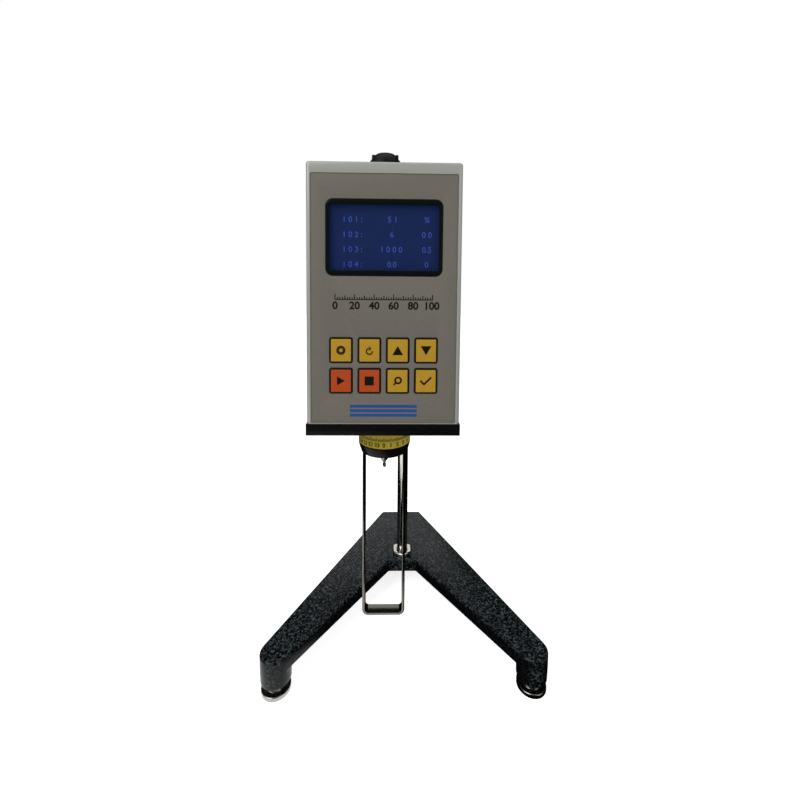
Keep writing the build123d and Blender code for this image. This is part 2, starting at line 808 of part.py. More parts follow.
# Bottom plate of the head
with BuildPart() as bottom_plate:
    with BuildSketch(Plane.XY.offset(plate_low)):
        with Locations((head_x, head_mid_y)):
            Rectangle(head_width + 2 * plate_lip, head_depth + 2 * plate_lip)
        with Locations((head_x, axis_y)):
            Circle(boss_r + running_fit, mode=Mode.SUBTRACT)
    extrude(amount=plate_thick)
    with BuildSketch(Plane.XY.offset(plate_low)):
        with Locations(*bottom_screws):
            Circle(screw_r + running_fit)
    extrude(amount=plate_thick, mode=Mode.SUBTRACT)
    with BuildSketch(Plane.XY.offset(plate_low)):
        with Locations(*bottom_screws):
            Circle(screw_head_r + loose_fit)
    extrude(amount=screw_head_thick + 0.2, mode=Mode.SUBTRACT)
bottom_plate.part.label = "bottom_plate"
export_step(bottom_plate.part, "parts/bottom_plate.step")

# Screws of the bottom plate and of the rear cover, into the housing's corner blocks
with BuildPart() as case_screws:
    for radius, length in ((screw_head_r, screw_head_thick), (screw_r - seat_fit, screw_head_thick + screw_length)):
        with BuildSketch(Plane.XY.offset(plate_low + 0.2)):
            with Locations(*bottom_screws):
                Circle(radius)
        extrude(amount=length)
        with BuildSketch(front_plane(cover_back_y + screw_head_thick)):
            with Locations(*cover_screws):
                Circle(radius)
        extrude(amount=length)
case_screws.part.label = "case_screws"
export_step(case_screws.part, "parts/case_screws.step")

# Front overlay in the housing's recess, open at the screen and at each key
with BuildPart() as panel_overlay:
    with BuildSketch(front_plane(recess_y)) as overlay_face:
        with Locations((head_x, overlay_middle)):
            RectangleRounded(overlay_width, overlay_height, 1.2)
        with Locations((head_x, screen_centre_height)):
            RectangleRounded(
                frame_width + 2 * panel_fit,
                frame_height + 2 * panel_fit,
                frame_round + panel_fit,
                mode=Mode.SUBTRACT,
            )
        with Locations(*key_places):
            RectangleRounded(
                key_width + 2 * panel_fit,
                key_height + 2 * panel_fit,
                key_round + panel_fit,
                mode=Mode.SUBTRACT,
            )
    extrude(amount=overlay_thick)
panel_overlay.part.label = "panel_overlay"
export_step(panel_overlay.part, "parts/panel_overlay.step")

# Black frame round the screen
with BuildPart() as screen_frame:
    with BuildSketch(front_plane(recess_y)):
        with Locations((head_x, screen_centre_height)):
            RectangleRounded(frame_width, frame_height, frame_round)
            RectangleRounded(view_width, view_height, view_round, mode=Mode.SUBTRACT)
    extrude(amount=frame_thick)
    chamfer(screen_frame.faces().sort_by(Axis.Y)[0].outer_wire().edges(), 0.4)
screen_frame.part.label = "screen_frame"
export_step(screen_frame.part, "parts/screen_frame.step")

# Clear window behind the frame, in the housing's opening
with BuildPart() as screen_window:
    with BuildSketch(front_plane(recess_y + window_thick)):
        with Locations((head_x, screen_centre_height)):
            Rectangle(
                view_width + 2 * window_margin - 2 * panel_fit,
                view_height + 2 * window_margin - 2 * panel_fit,
            )
    extrude(amount=window_thick)
screen_window.part.label = "screen_window"
export_step(screen_window.part, "parts/screen_window.step")

# Liquid-crystal glass
with BuildPart() as screen_glass:
    with BuildSketch(front_plane(screen_can_y)):
        with Locations((head_x, screen_centre_height)):
            Rectangle(view_width + 1.0, view_height + 1.0)
    extrude(amount=screen_glass_thick)
screen_glass.part.label = "screen_glass"
export_step(screen_glass.part, "parts/screen_glass.step")

# Screen board with its metal can
with BuildPart() as screen_board:
    with BuildSketch(front_plane(screen_board_y + board_thick)):
        with Locations((head_x, screen_centre_height)):
            Rectangle(screen_board_width, screen_board_height)
    extrude(amount=board_thick)
    with BuildSketch(front_plane(screen_board_y)):
        with Locations((head_x, screen_centre_height)):
            Rectangle(view_width + 3 * window_margin, view_height + 3 * window_margin)
    extrude(amount=screen_can_thick)
screen_board.part.label = "screen_board"
export_step(screen_board.part, "parts/screen_board.step")

# Keypad board with one contact dome behind each key
with BuildPart() as keypad_board:
    with BuildSketch(front_plane(keypad_board_y + board_thick)):
        with Locations((head_x, keypad_middle)):
            Rectangle(keypad_board_width, keypad_board_height)
    extrude(amount=board_thick)
    with BuildSketch(front_plane(keypad_board_y)):
        with Locations(*key_places):
            Circle(dome_r)
    extrude(amount=dome_thick, taper=30)
keypad_board.part.label = "keypad_board"
export_step(keypad_board.part, "parts/keypad_board.step")

# Keys: a rounded cap in the overlay and a stem that reaches through the housing's face
for number, (key_x, key_z) in enumerate(key_places, start=1):
    with BuildPart() as key:
        with BuildSketch(front_plane(key_back_y)):
            with Locations((key_x, key_z)):
                RectangleRounded(key_width, key_height, key_round)
        extrude(amount=key_thick)
        chamfer(key.faces().sort_by(Axis.Y)[0].edges(), 0.3)
        with BuildSketch(front_plane(stem_back_y)):
            with Locations((key_x, key_z)):
                Circle(key_stem_r)
        extrude(amount=stem_back_y - key_back_y)
    key.part.label = f"key_{number}"
    export_step(key.part, f"parts/key_{number}.step")

# Main board, with the processor, a driver and two connectors on its rear side
main_board_middle = main_board_low + main_board_height / 2
with BuildPart() as main_board:
    with BuildSketch(front_plane(main_board_y + board_thick)):
        with Locations((head_x, main_board_middle)):
            Rectangle(screen_board_width, main_board_height)
    extrude(amount=board_thick)
    with BuildSketch(front_plane(main_board_y + board_thick + chip_thick)):
        with Locations((head_x, main_board_middle - main_board_height / 4)):
            with GridLocations(2.2 * chip_side, 0, 2, 1):
                Rectangle(chip_side, chip_side)
    extrude(amount=chip_thick)
    with BuildSketch(front_plane(main_board_y + board_thick + connector_thick)):
        with Locations((head_x, main_board_middle + main_board_height / 7)):
            with GridLocations(screen_board_width / 2, 0, 2, 1):
                Rectangle(connector_width, connector_length)
    extrude(amount=connector_thick)
main_board.part.label = "main_board"
export_step(main_board.part, "parts/main_board.step")

# Light barriers on the main board, one round the rim of each slotted disc
sensor_back_y = main_board_y + board_thick
sensor_front_y = axis_y - disc_r + 4.5
with BuildPart() as phase_sensors:
    for disc_low in (upper_disc_low, lower_disc_low):
        slot_middle = disc_low + disc_thick / 2
        with BuildSketch(side_plane(head_x - 6.0)):
            with Locations(((sensor_back_y + sensor_front_y) / 2, slot_middle)):
                Rectangle(sensor_front_y - sensor_back_y, 9.2)
            with Locations(((sensor_front_y + axis_y - disc_r - 3.0) / 2, slot_middle)):
                Rectangle(sensor_front_y - (axis_y - disc_r - 3.0), 3.6, mode=Mode.SUBTRACT)
        extrude(amount=12.0)
phase_sensors.part.label = "phase_sensors"
export_step(phase_sensors.part, "parts/phase_sensors.step")

# Power board on the rear cover's posts, with its transformer and two capacitors
with BuildPart() as power_board:
    with BuildSketch(front_plane(power_board_back_y)):
        with Locations((head_x, power_board_middle)):
            Rectangle(2 * frame_half, power_board_height)
    extrude(amount=board_thick)
    with BuildSketch(front_plane(power_board_back_y - board_thick)):
        with Locations((head_x - transformer_side / 2, power_board_middle)):
            Rectangle(transformer_side, transformer_side)
    extrude(amount=transformer_deep)
    with BuildSketch(front_plane(power_board_back_y - board_thick)):
        with Locations((head_x + frame_half / 2, power_board_middle)):
            with GridLocations(3 * capacitor_r, 0, 2, 1):
                Circle(capacitor_r)
    extrude(amount=capacitor_deep)
power_board.part.label = "power_board"
export_step(power_board.part, "parts/power_board.step")

# Back frame: an angle that stands on the bottom plate and takes the rod's spigot
frame_top = motor_plate_low
with BuildPart() as back_frame:
    with BuildSketch(front_plane(frame_back_y)):
        with Locations((head_x, (plate_top + frame_top) / 2)):
            Rectangle(2 * (frame_half - block_side), frame_top - plate_top)
    extrude(amount=back_frame_thick)
    with BuildSketch(Plane.XY.offset(plate_top)):
        with Locations((head_x, frame_back_y - back_frame_foot / 2)):
            Rectangle(2 * (frame_half - block_side), back_frame_foot)
    extrude(amount=back_frame_thick)
    with BuildSketch(front_plane(frame_front_y)):
        with Locations((head_x, rod_height)):
            Circle(2 * rod_r - 2.0)
    extrude(amount=spigot_deep)
    with BuildSketch(front_plane(frame_back_y)):
        with Locations((head_x, rod_height)):
            Circle(rod_r - 1.0 + seat_fit)
    extrude(amount=back_frame_thick + spigot_deep, mode=Mode.SUBTRACT)
back_frame.part.label = "back_frame"
export_step(back_frame.part, "parts/back_frame.step")

# Two pillars that hold the front of the motor plate
with BuildPart() as frame_pillars:
    with BuildSketch(Plane.XY.offset(plate_top)):
        with Locations((head_x, axis_y - pillar_front)):
            with GridLocations(pillar_spread, 0, 2, 1):
                RegularPolygon(pillar_r, 6)
    extrude(amount=motor_plate_low - plate_top)
frame_pillars.part.label = "frame_pillars"
export_step(frame_pillars.part, "parts/frame_pillars.step")

# Motor plate
motor_plate_front_y = axis_y - pillar_front - pillar_r - 1.0
bush_r = hub_r + 3.0
with BuildPart() as motor_plate:
    with BuildSketch(Plane.XY.offset(motor_plate_low)):
        with Locations((head_x, (motor_plate_front_y + frame_back_y) / 2)):
            Rectangle(2 * frame_half, frame_back_y - motor_plate_front_y)
        with Locations((head_x, axis_y)):
            Circle(bush_r + seat_fit, mode=Mode.SUBTRACT)
        with Locations((head_x, motor_y)):
            Circle(motor_pilot_r + seat_fit, mode=Mode.SUBTRACT)
    extrude(amount=motor_plate_thick)
motor_plate.part.label = "motor_plate"
export_step(motor_plate.part, "parts/motor_plate.step")

# Stepper motor: square can with cut corners and a pilot in the plate
with BuildPart() as motor:
    with BuildSketch(Plane.XY.offset(motor_low)) as motor_face:
        with Locations((head_x, motor_y)):
            Rectangle(motor_side, motor_side)
        chamfer(motor_face.vertices(), 4.0)
    extrude(amount=motor_height)
    with BuildSketch(Plane.XY.offset(motor_low - 2.0)):
        with Locations((head_x, motor_y)):
            Circle(motor_pilot_r)
    extrude(amount=2.0)
    with BuildSketch(Plane.XY.offset(motor_low - 2.0)):
        with Locations((head_x, motor_y)):
            Circle(motor_shaft_r + running_fit)
    extrude(amount=14.0, mode=Mode.SUBTRACT)
motor.part.label = "motor"
export_step(motor.part, "parts/motor.step")

# Motor shaft with its pinion
with BuildPart() as motor_pinion:
    with BuildSketch(Plane.XY.offset(drive_gear_low - 0.5)):
        with Locations((head_x, motor_y)):
            toothed_disc(gear_module, motor_teeth, gear_backlash, 270 + 180 / motor_teeth)
    extrude(amount=gear_thick + 1.0)
    with BuildSketch(Plane.XY.offset(drive_gear_low - 0.5)):
        with Locations((head_x, motor_y)):
            Circle(motor_shaft_r)
    extrude(amount=motor_low + 11.0 - drive_gear_low)
motor_pinion.part.label = "motor_pinion"
export_step(motor_pinion.part, "parts/motor_pinion.step")

# Bush of the drive gear, flanged below the motor plate
bush_flange = 1.0
with BuildPart() as hub_bush:
    with BuildSketch(Plane.XY.offset(motor_plate_low - bush_flange)):
        with Locations((head_x, axis_y)):
            Circle(bush_r + 2.0)
    extrude(amount=bush_flange)
    with BuildSketch(Plane.XY.offset(motor_plate_low)):
        with Locations((head_x, axis_y)):
            Circle(bush_r)
    extrude(amount=motor_plate_thick)
    with BuildSketch(Plane.XY.offset(motor_plate_low - bush_flange)):
        with Locations((head_x, axis_y)):
            Circle(hub_r + running_fit)
    extrude(amount=motor_plate_thick + bush_flange, mode=Mode.SUBTRACT)
hub_bush.part.label = "hub_bush"
export_step(hub_bush.part, "parts/hub_bush.step")

# Drive gear with its hub up through the bush and down to the upper disc
hub_low = upper_disc_low + disc_thick
hub_top = motor_low + 3.2
with BuildPart() as drive_gear:
    with BuildSketch(Plane.XY.offset(drive_gear_low)):
        with Locations((head_x, axis_y)):
            toothed_disc(gear_module, drive_teeth, gear_backlash, 90)
            with PolarLocations(10.2, 5):
                Circle(2.6, mode=Mode.SUBTRACT)
    extrude(amount=gear_thick)
    with BuildSketch(Plane.XY.offset(drive_gear_low)):
        with Locations((head_x, axis_y)):
            Circle(hub_flange_r)
    extrude(amount=motor_plate_low - bush_flange - 0.2 - drive_gear_low)
    with BuildSketch(Plane.XY.offset(hub_low)):
        with Locations((head_x, axis_y)):
            Circle(hub_r)
    extrude(amount=hub_top - hub_low)
    with BuildSketch(Plane.XY.offset(hub_low)):
        with Locations((head_x, axis_y)):
            Circle(pivot_r + running_fit)
    extrude(amount=5.0, mode=Mode.SUBTRACT)
drive_gear.part.label = "drive_gear"
export_step(drive_gear.part, "parts/drive_gear.step")

# Collar on the hub's upper end, which keeps the drive gear in its bush
with BuildPart() as hub_collar:
    with BuildSketch(Plane.XY.offset(motor_low + 0.2)):
        with Locations((head_x, axis_y)):
            Circle(hub_r + 2.0)
            Circle(hub_r + seat_fit, mode=Mode.SUBTRACT)
    extrude(amount=2.5)
hub_collar.part.label = "hub_collar"
export_step(hub_collar.part, "parts/hub_collar.step")


def slotted_disc(bore):
    """Face of a phase disc: a thin disc with a ring of slots near its rim."""
    Circle(disc_r)
    Circle(bore, mode=Mode.SUBTRACT)
    with PolarLocations(disc_r - 3.0, 12):
        Rectangle(3.6, 2.4, mode=Mode.SUBTRACT)


# Upper slotted disc, with the post that holds the hairspring's outer end
spring_end_r = collet_r + spring_pitch * spring_turns
with BuildPart() as upper_disc:
    with BuildSketch(Plane.XY.offset(upper_disc_low)):
        with Locations((head_x, axis_y)):
            slotted_disc(pivot_r + loose_fit)
    extrude(amount=disc_thick)
    with BuildSketch(Plane.XY.offset(spring_low)):
        with Locations((head_x + spring_end_r + 0.9, axis_y)):
            Circle(0.9)
    extrude(amount=upper_disc_low - spring_low)
upper_disc.part.label = "upper_disc"
export_step(upper_disc.part, "parts/upper_disc.step")

# Hairspring: a collet on the spindle and a flat spiral of half turns
with BuildPart() as hairspring:
    with BuildSketch(Plane((head_x, axis_y, spring_low))):
        with BuildLine():
            for half in range(2 * spring_turns):
                side = 1 if half % 2 == 0 else -1
                turn_r = collet_r - 0.2 + spring_pitch * (half + 0.5) / 2
                CenterArc((-side * spring_pitch / 4, 0), turn_r, 90 - side * 90, 180)
        trace(line_width=spring_strip)
        Circle(collet_r)
        Circle(spindle_r + seat_fit, mode=Mode.SUBTRACT)
    extrude(amount=spring_height)
hairspring.part.label = "hairspring"
export_step(hairspring.part, "parts/hairspring.step")

# Lower slotted disc with its hub, fixed on the spindle
with BuildPart() as lower_disc:
    with BuildSketch(Plane.XY.offset(lower_disc_low)):
        with Locations((head_x, axis_y)):
            slotted_disc(spindle_r + seat_fit)
    extrude(amount=disc_thick)
    with BuildSketch(Plane.XY.offset(lower_disc_low - 2.5)):
        with Locations((head_x, axis_y)):
            Circle(2 * spindle_r)
            Circle(spindle_r + seat_fit, mode=Mode.SUBTRACT)
    extrude(amount=disc_thick + 4.0)
lower_disc.part.label = "lower_disc"
export_step(lower_disc.part, "parts/lower_disc.step")

# Spindle shaft: plain shaft with a fine pivot that runs inside the drive gear's hub
with BuildPart() as spindle_shaft:
    with BuildSketch(Plane.XY.offset(spindle_low)):
        with Locations((head_x, axis_y)):
            Circle(spindle_r)
    extrude(amount=upper_disc_low - 1.2 - spindle_low)
    with BuildSketch(Plane.XY.offset(spindle_low)):
        with Locations((head_x, axis_y)):
            Circle(pivot_r)
    extrude(amount=hub_low + 4.8 - spindle_low)
spindle_shaft.part.label = "spindle_shaft"
export_step(spindle_shaft.part, "parts/spindle_shaft.step")

# Rotor coupling: knurled body, cone, neck and the stud that a rotor screws on to
with BuildPart() as rotor_coupling:
    with BuildSketch(Plane.XZ.offset(-axis_y)) as coupling_half:
        with BuildLine():
            Polyline(
                (head_x, stud_low),
                (head_x + stud_r - stud_round, stud_low),
                (head_x + stud_r, stud_low + stud_round),
                (head_x + stud_r, stud_top),
                (head_x + coupling_neck_r, stud_top),
                (head_x + coupling_neck_r, coupling_neck_top),
                (head_x + coupling_r, coupling_cone_top),
                (head_x + coupling_r, coupling_top),
                (head_x, coupling_top),
                close=True,
            )
        make_face()
    revolve(axis=Axis((head_x, axis_y, 0), (0, 0, 1)))
    with BuildSketch(Plane.XY.offset(spindle_low)):
        with Locations((head_x, axis_y)):
            Circle(spindle_r + seat_fit)
    extrude(amount=coupling_top - spindle_low, mode=Mode.SUBTRACT)
rotor_coupling.part.label = "rotor_coupling"
export_step(rotor_coupling.part, "parts/rotor_coupling.step")

# Boss tube: flange on the bottom plate, outer sleeve below it, bearing seat and threaded spigot
with BuildPart() as boss_tube:
    with BuildSketch(Plane.XY.offset(plate_top)):
        with Locations((head_x, axis_y)):
            Circle(boss_flange_r)
    extrude(amount=boss_flange_thick)
    with BuildSketch(Plane.XY.offset(boss_low)):
        with Locations((head_x, axis_y)):
            Circle(boss_r)
    extrude(amount=plate_top - boss_low)
    with BuildSketch(Plane.XY.offset(spigot_low)):
        with Locations((head_x, axis_y)):
            Circle(spigot_r)
    extrude(amount=boss_low - spigot_low)
    with BuildSketch(Plane.XY.offset(spigot_low)):
        with Locations((head_x, axis_y)):
            Circle(coupling_r + 2.0)
    extrude(amount=plate_top, mode=Mode.SUBTRACT)
    with BuildSketch(Plane.XY.offset(bearing_low)):
        with Locations((head_x, axis_y)):
            Circle(bearing_r + seat_fit)
    extrude(amount=plate_top, mode=Mode.SUBTRACT)
    with BuildSketch(Plane.XY.offset(bearing_low + bearing_thick)):
        with Locations((head_x, axis_y)):
            Circle(boss_bore_r)
    extrude(amount=plate_top, mode=Mode.SUBTRACT)
boss_tube.part.label = "boss_tube"
export_step(boss_tube.part, "parts/boss_tube.step")

# Lower bearing of the spindle
with BuildPart() as lower_bearing:
    with BuildSketch(Plane.XY.offset(bearing_low)):
        with Locations((head_x, axis_y)):
            Circle(bearing_r)
            Circle(spindle_r + running_fit, mode=Mode.SUBTRACT)
    extrude(amount=bearing_thick)
lower_bearing.part.label = "lower_bearing"
export_step(lower_bearing.part, "parts/lower_bearing.step")

# Yellow band round the boss
with BuildPart() as boss_band:
    with BuildSketch(Plane.XY.offset(boss_low)):
        with Locations((head_x, axis_y)):
            Circle(boss_r + label_thick)
            Circle(boss_r + 0.005, mode=Mode.SUBTRACT)
    extrude(amount=plate_low - boss_low)
boss_band.part.label = "boss_band"
export_step(boss_band.part, "parts/boss_band.step")

# Guard ring: rounded black ring on the spigot, slotted for the guard's legs
guard_leg_x = guard_width / 2 - guard_thick / 2
with BuildPart() as guard_ring:
    with BuildSketch(Plane.XZ.offset(-axis_y)):
        with BuildLine():
            Line((head_x + spigot_r + seat_fit, guard_ring_low), (head_x + guard_ring_low_r, guard_ring_low))
            Polyline(
                (head_x + guard_ring_low_r, guard_ring_low),
                (head_x + boss_r - 0.5, boss_low - 4.6),
                (head_x + boss_r + label_thick, boss_low - 1.2),
                (head_x + boss_r + label_thick, boss_low),
                (head_x + spigot_r + seat_fit, boss_low),
                (head_x + spigot_r + seat_fit, guard_ring_low),
            )
        make_face()
    revolve(axis=Axis((head_x, axis_y, 0), (0, 0, 1)))
    with BuildSketch(Plane.XY.offset(guard_ring_low)):
        with Locations((head_x, axis_y)):
            with GridLocations(2 * guard_leg_x, 0, 2, 1):
                Rectangle(guard_thick + 2 * seat_fit, guard_strip + 2 * seat_fit)
    extrude(amount=guard_top + loose_fit - guard_ring_low, mode=Mode.SUBTRACT)
guard_ring.part.label = "guard_ring"
export_step(guard_ring.part, "parts/guard_ring.step")

# Guard: flat steel strip bent to a U below the ring
with BuildPart() as guard:
    with BuildSketch(front_plane(axis_y + guard_strip / 2)) as guard_face:
        with Locations((head_x, (guard_low + guard_top) / 2)):
            Rectangle(guard_width, guard_top - guard_low)
        fillet(guard_face.vertices().sort_by(Axis.Z)[:2], guard_round)
        with BuildSketch(mode=Mode.PRIVATE) as inside:
            with Locations((head_x, (guard_low + guard_thick + guard_top + 1.0) / 2)):
                Rectangle(guard_width - 2 * guard_thick, guard_top + 1.0 - guard_low - guard_thick)
            fillet(inside.vertices().sort_by(Axis.Y)[:2], guard_round - guard_thick)
        add(inside.sketch, mode=Mode.SUBTRACT)
    extrude(amount=guard_strip)
guard.part.label = "guard"
export_step(guard.part, "parts/guard.step")

# Level: cone-sided black body with a recess for the vial and three adjusting screws
with BuildPart() as level_body:
    with BuildSketch(Plane.XY.offset(level_low)):
        with Locations((head_x, level_y)):
            Circle(level_r)
    extrude(amount=0.8)
    with BuildSketch(Plane.XY.offset(level_low + 0.8)):
        with Locations((head_x, level_y)):
            Circle(level_r)
    with BuildSketch(Plane.XY.offset(level_low + level_height)):
        with Locations((head_x, level_y)):
            Circle(level_top_r)
    loft()
    with BuildSketch(Plane.XY.offset(level_low + 1.4)):
        with Locations((head_x, level_y)):
            Circle(vial_r + seat_fit)
    extrude(amount=level_height, mode=Mode.SUBTRACT)
    with BuildSketch(Plane.XY.offset(level_low)):
        with Locations((head_x, level_y)):
            with PolarLocations(level_screw_circle, 3, start_angle=90):
                Circle(level_screw_r)
    extrude(amount=level_screw_height)
level_body.part.label = "level_body"
export_step(level_body.part, "parts/level_body.step")

# Glass vial of the level, slightly domed
with BuildPart() as level_vial:
    with BuildSketch(Plane.XY.offset(level_low + 1.4)):
        with Locations((head_x, level_y)):
            Circle(vial_r)
    extrude(amount=level_height - 1.6)
    chamfer(level_vial.edges().sort_by(Axis.Z)[-1], 0.6)
level_vial.part.label = "level_vial"
export_step(level_vial.part, "parts/level_vial.step")

# Low-voltage power jack: threaded barrel with a flange outside and a contact pin inside
with BuildPart() as power_jack:
    with BuildSketch(front_plane(cover_back_y + 1.5)):
        with Locations(jack_place):
            Circle(jack_r + 1.5)
    extrude(amount=1.5)
    with BuildSketch(front_plane(cover_back_y)):
        with Locations(jack_place):
            Circle(jack_r)
    extrude(amount=14.0)
    with BuildSketch(front_plane(cover_back_y + 1.5)):
        with Locations(jack_place):
            Circle(jack_hole_r)
            Circle(1.0, mode=Mode.SUBTRACT)
    extrude(amount=11.0, mode=Mode.SUBTRACT)
power_jack.part.label = "power_jack"
export_step(power_jack.part, "parts/power_jack.step")

# Socket of the temperature probe
with BuildPart() as probe_socket:
    with BuildSketch(front_plane(cover_back_y + 1.5)):
        with Locations(probe_place):
            Circle(probe_r + 1.5)
    extrude(amount=1.5)
    with BuildSketch(front_plane(cover_back_y)):
        with Locations(probe_place):
            Circle(probe_r)
    extrude(amount=15.0)
    with BuildSketch(front_plane(cover_back_y + 1.5)):
        with Locations(probe_place):
            Circle(probe_hole_r)
    extrude(amount=13.5, mode=Mode.SUBTRACT)
probe_socket.part.label = "probe_socket"
export_step(probe_socket.part, "parts/probe_socket.step")

# Power switch: bezel and body, with a pocket for the rocker
rocker_half = switch_height / 2 - 2.0
rocker_width = switch_width - 3.0
rocker_pivot_y = cover_back_y - 2.0
with BuildPart() as switch_body:
    with BuildSketch(front_plane(cover_back_y + switch_bezel)):
        with Locations(switch_place):
            RectangleRounded(switch_width + 2.4, switch_height + 2.0, 1.0)
    extrude(amount=switch_bezel)
    with BuildSketch(front_plane(cover_back_y)):
        with Locations(switch_place):
            Rectangle(switch_width, switch_height)
    extrude(amount=15.0)
    with BuildSketch(front_plane(cover_back_y + switch_bezel)):
        with Locations(switch_place):
            Rectangle(rocker_width + 0.6, 2 * rocker_half + 1.0)
    extrude(amount=switch_bezel + 9.0, mode=Mode.SUBTRACT)
switch_body.part.label = "switch_body"
export_step(switch_body.part, "parts/switch_body.step")

# Rocker of the switch, at rest with its upper end pressed in
with BuildPart() as switch_rocker:
    rocker_pivot = (switch_place[0] - rocker_width / 2, rocker_pivot_y, switch_place[1])
    tilt = radians(rocker_tilt)
    with BuildSketch(Plane(rocker_pivot, (0, cos(tilt), sin(tilt)), (1, 0, 0))):
        with BuildLine():
            Polyline(
                (-3.2, -3.0),
                (1.4, -rocker_half + 0.2),
                (3.4, -rocker_half + 0.2),
                (2.6, 0),
                (3.4, rocker_half - 0.2),
                (1.4, rocker_half - 0.2),
                (-3.2, 3.0),
                close=True,
            )
        make_face()
    extrude(amount=rocker_width)
switch_rocker.part.label = "switch_rocker"
export_step(switch_rocker.part, "parts/switch_rocker.step")
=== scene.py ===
"""Rotational viscometer on a rack stand: dressed pieces, finishes and a small studio."""

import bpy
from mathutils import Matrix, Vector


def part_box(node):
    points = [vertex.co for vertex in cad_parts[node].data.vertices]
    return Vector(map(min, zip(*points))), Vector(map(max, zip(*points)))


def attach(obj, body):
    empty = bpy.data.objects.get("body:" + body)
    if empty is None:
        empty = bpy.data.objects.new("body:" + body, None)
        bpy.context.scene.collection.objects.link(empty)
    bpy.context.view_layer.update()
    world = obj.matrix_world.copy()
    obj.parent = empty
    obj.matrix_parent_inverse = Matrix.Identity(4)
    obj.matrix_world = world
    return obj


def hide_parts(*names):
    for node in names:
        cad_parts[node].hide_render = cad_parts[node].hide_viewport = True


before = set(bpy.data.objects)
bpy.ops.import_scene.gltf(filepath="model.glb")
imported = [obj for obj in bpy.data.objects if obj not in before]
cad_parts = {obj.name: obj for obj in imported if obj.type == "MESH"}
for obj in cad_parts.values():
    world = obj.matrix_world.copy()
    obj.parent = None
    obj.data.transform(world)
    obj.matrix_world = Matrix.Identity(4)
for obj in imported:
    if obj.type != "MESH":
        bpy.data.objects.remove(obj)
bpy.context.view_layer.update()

from math import cos, pi, radians, sin

import bpy
from bpy.props import FloatProperty, FloatVectorProperty, IntProperty, PointerProperty
from mathutils import Matrix, Vector

bl_info = {
    "name": "Rotational viscometer",
    "version": (1, 0, 0),
    "blender": (4, 5, 0),
    "location": "View3D > Sidebar > Viscometer",
    "description": "Dresses the viscometer's solids with detailed pieces and finishes",
    "category": "Object",
}

MM = 0.001

# Range of Blender's noise that its colours and roughnesses are spread over
NOISE_LOW, NOISE_HIGH = 0.3, 0.7

# Dark and printed surfaces mirror less than clear lacquer does
DULL = {"Specular_IOR_Level": 0.12}

# Finishes by a short name, filled by make_finishes()
FINISHES = {}


def linear(code):
    """Linear RGBA of an sRGB hex colour."""
    shares = [int(code[i:i + 2], 16) / 255 for i in (1, 3, 5)]
    return tuple(s / 12.92 if s <= 0.04045 else ((s + 0.055) / 1.055) ** 2.4 for s in shares) + (1.0,)


# Sizes and colours that a user would change


def user_length(name, description, default, low, high):
    """Property for a length in metres."""
    return FloatProperty(
        name=name, description=description, default=default, min=low, max=high, unit="LENGTH")


def user_colour(name, description, code):
    """Property for a colour with the given hex code as its default."""
    return FloatVectorProperty(
        name=name, description=description, subtype="COLOR", size=4, default=linear(code), min=0, max=1)


class ViscometerSizes(bpy.types.PropertyGroup):
    casting_round: user_length(
        "Casting edge", "Radius of the base casting's edges",
        default=1.3 * MM, low=0.2 * MM, high=2.0 * MM)
    machined_round: user_length(
        "Machined edge", "Broken edge of turned and milled metal",
        default=0.25 * MM, low=0.05 * MM, high=0.6 * MM)
    moulded_round: user_length(
        "Moulded edge", "Edge radius of moulded plastic",
        default=0.5 * MM, low=0.1 * MM, high=1.0 * MM)
    guard_bend: user_length(
        "Guard bend", "Outer radius of the guard strip's two bends",
        default=5.0 * MM, low=3.0 * MM, high=8.0 * MM)
    key_border: user_length(
        "Key border", "Width of the dark border printed round each key",
        default=0.75 * MM, low=0.2 * MM, high=2.0 * MM)
    key_crown: user_length(
        "Key crown", "Rise of a key's middle over its border",
        default=0.12 * MM, low=0.0, high=0.3 * MM)
    legend_height: user_length(
        "Key symbol", "Height of the symbol printed on a key",
        default=6.2 * MM, low=2.0 * MM, high=10.0 * MM)
    print_thick: user_length(
        "Print", "Thickness of printed figures and lines",
        default=0.03 * MM, low=0.01 * MM, high=0.1 * MM)
    scale_width: user_length(
        "Panel scale", "Width of the number scale below the screen",
        default=66.0 * MM, low=30.0 * MM, high=90.0 * MM)
    band_ticks: IntProperty(
        name="Band ticks", description="Number of ticks round the boss band",
        default=144, min=12, max=240)


class ViscometerColours(bpy.types.PropertyGroup):
    enamel_dark: user_colour("Hammer enamel", "Ground colour of the base casting", "#060708")
    enamel_fleck: user_colour("Enamel fleck", "Colour of the mottle in the enamel", "#556065")
    housing_paint: user_colour("Housing paint", "Grey metallic paint of the head", "#abada6")
    overlay_print: user_colour("Front overlay", "Warm grey of the front panel's film", "#736f67")
    key_yellow: user_colour("Yellow keys", "Colour of six keys", "#b78f2a")
    key_red: user_colour("Red keys", "Colour of the start and stop keys", "#b4491f")
    screen_blue: user_colour("Screen", "Ground colour of the lit screen", "#18264f")
    screen_digit: user_colour("Screen figures", "Colour of the figures on the screen", "#2a45a0")
    band_yellow: user_colour("Boss band", "Colour of the band round the boss", "#c3ae3c")
    stripe_blue: user_colour("Panel stripes", "Colour of the plain stripes below the keys", "#2a4f8f")


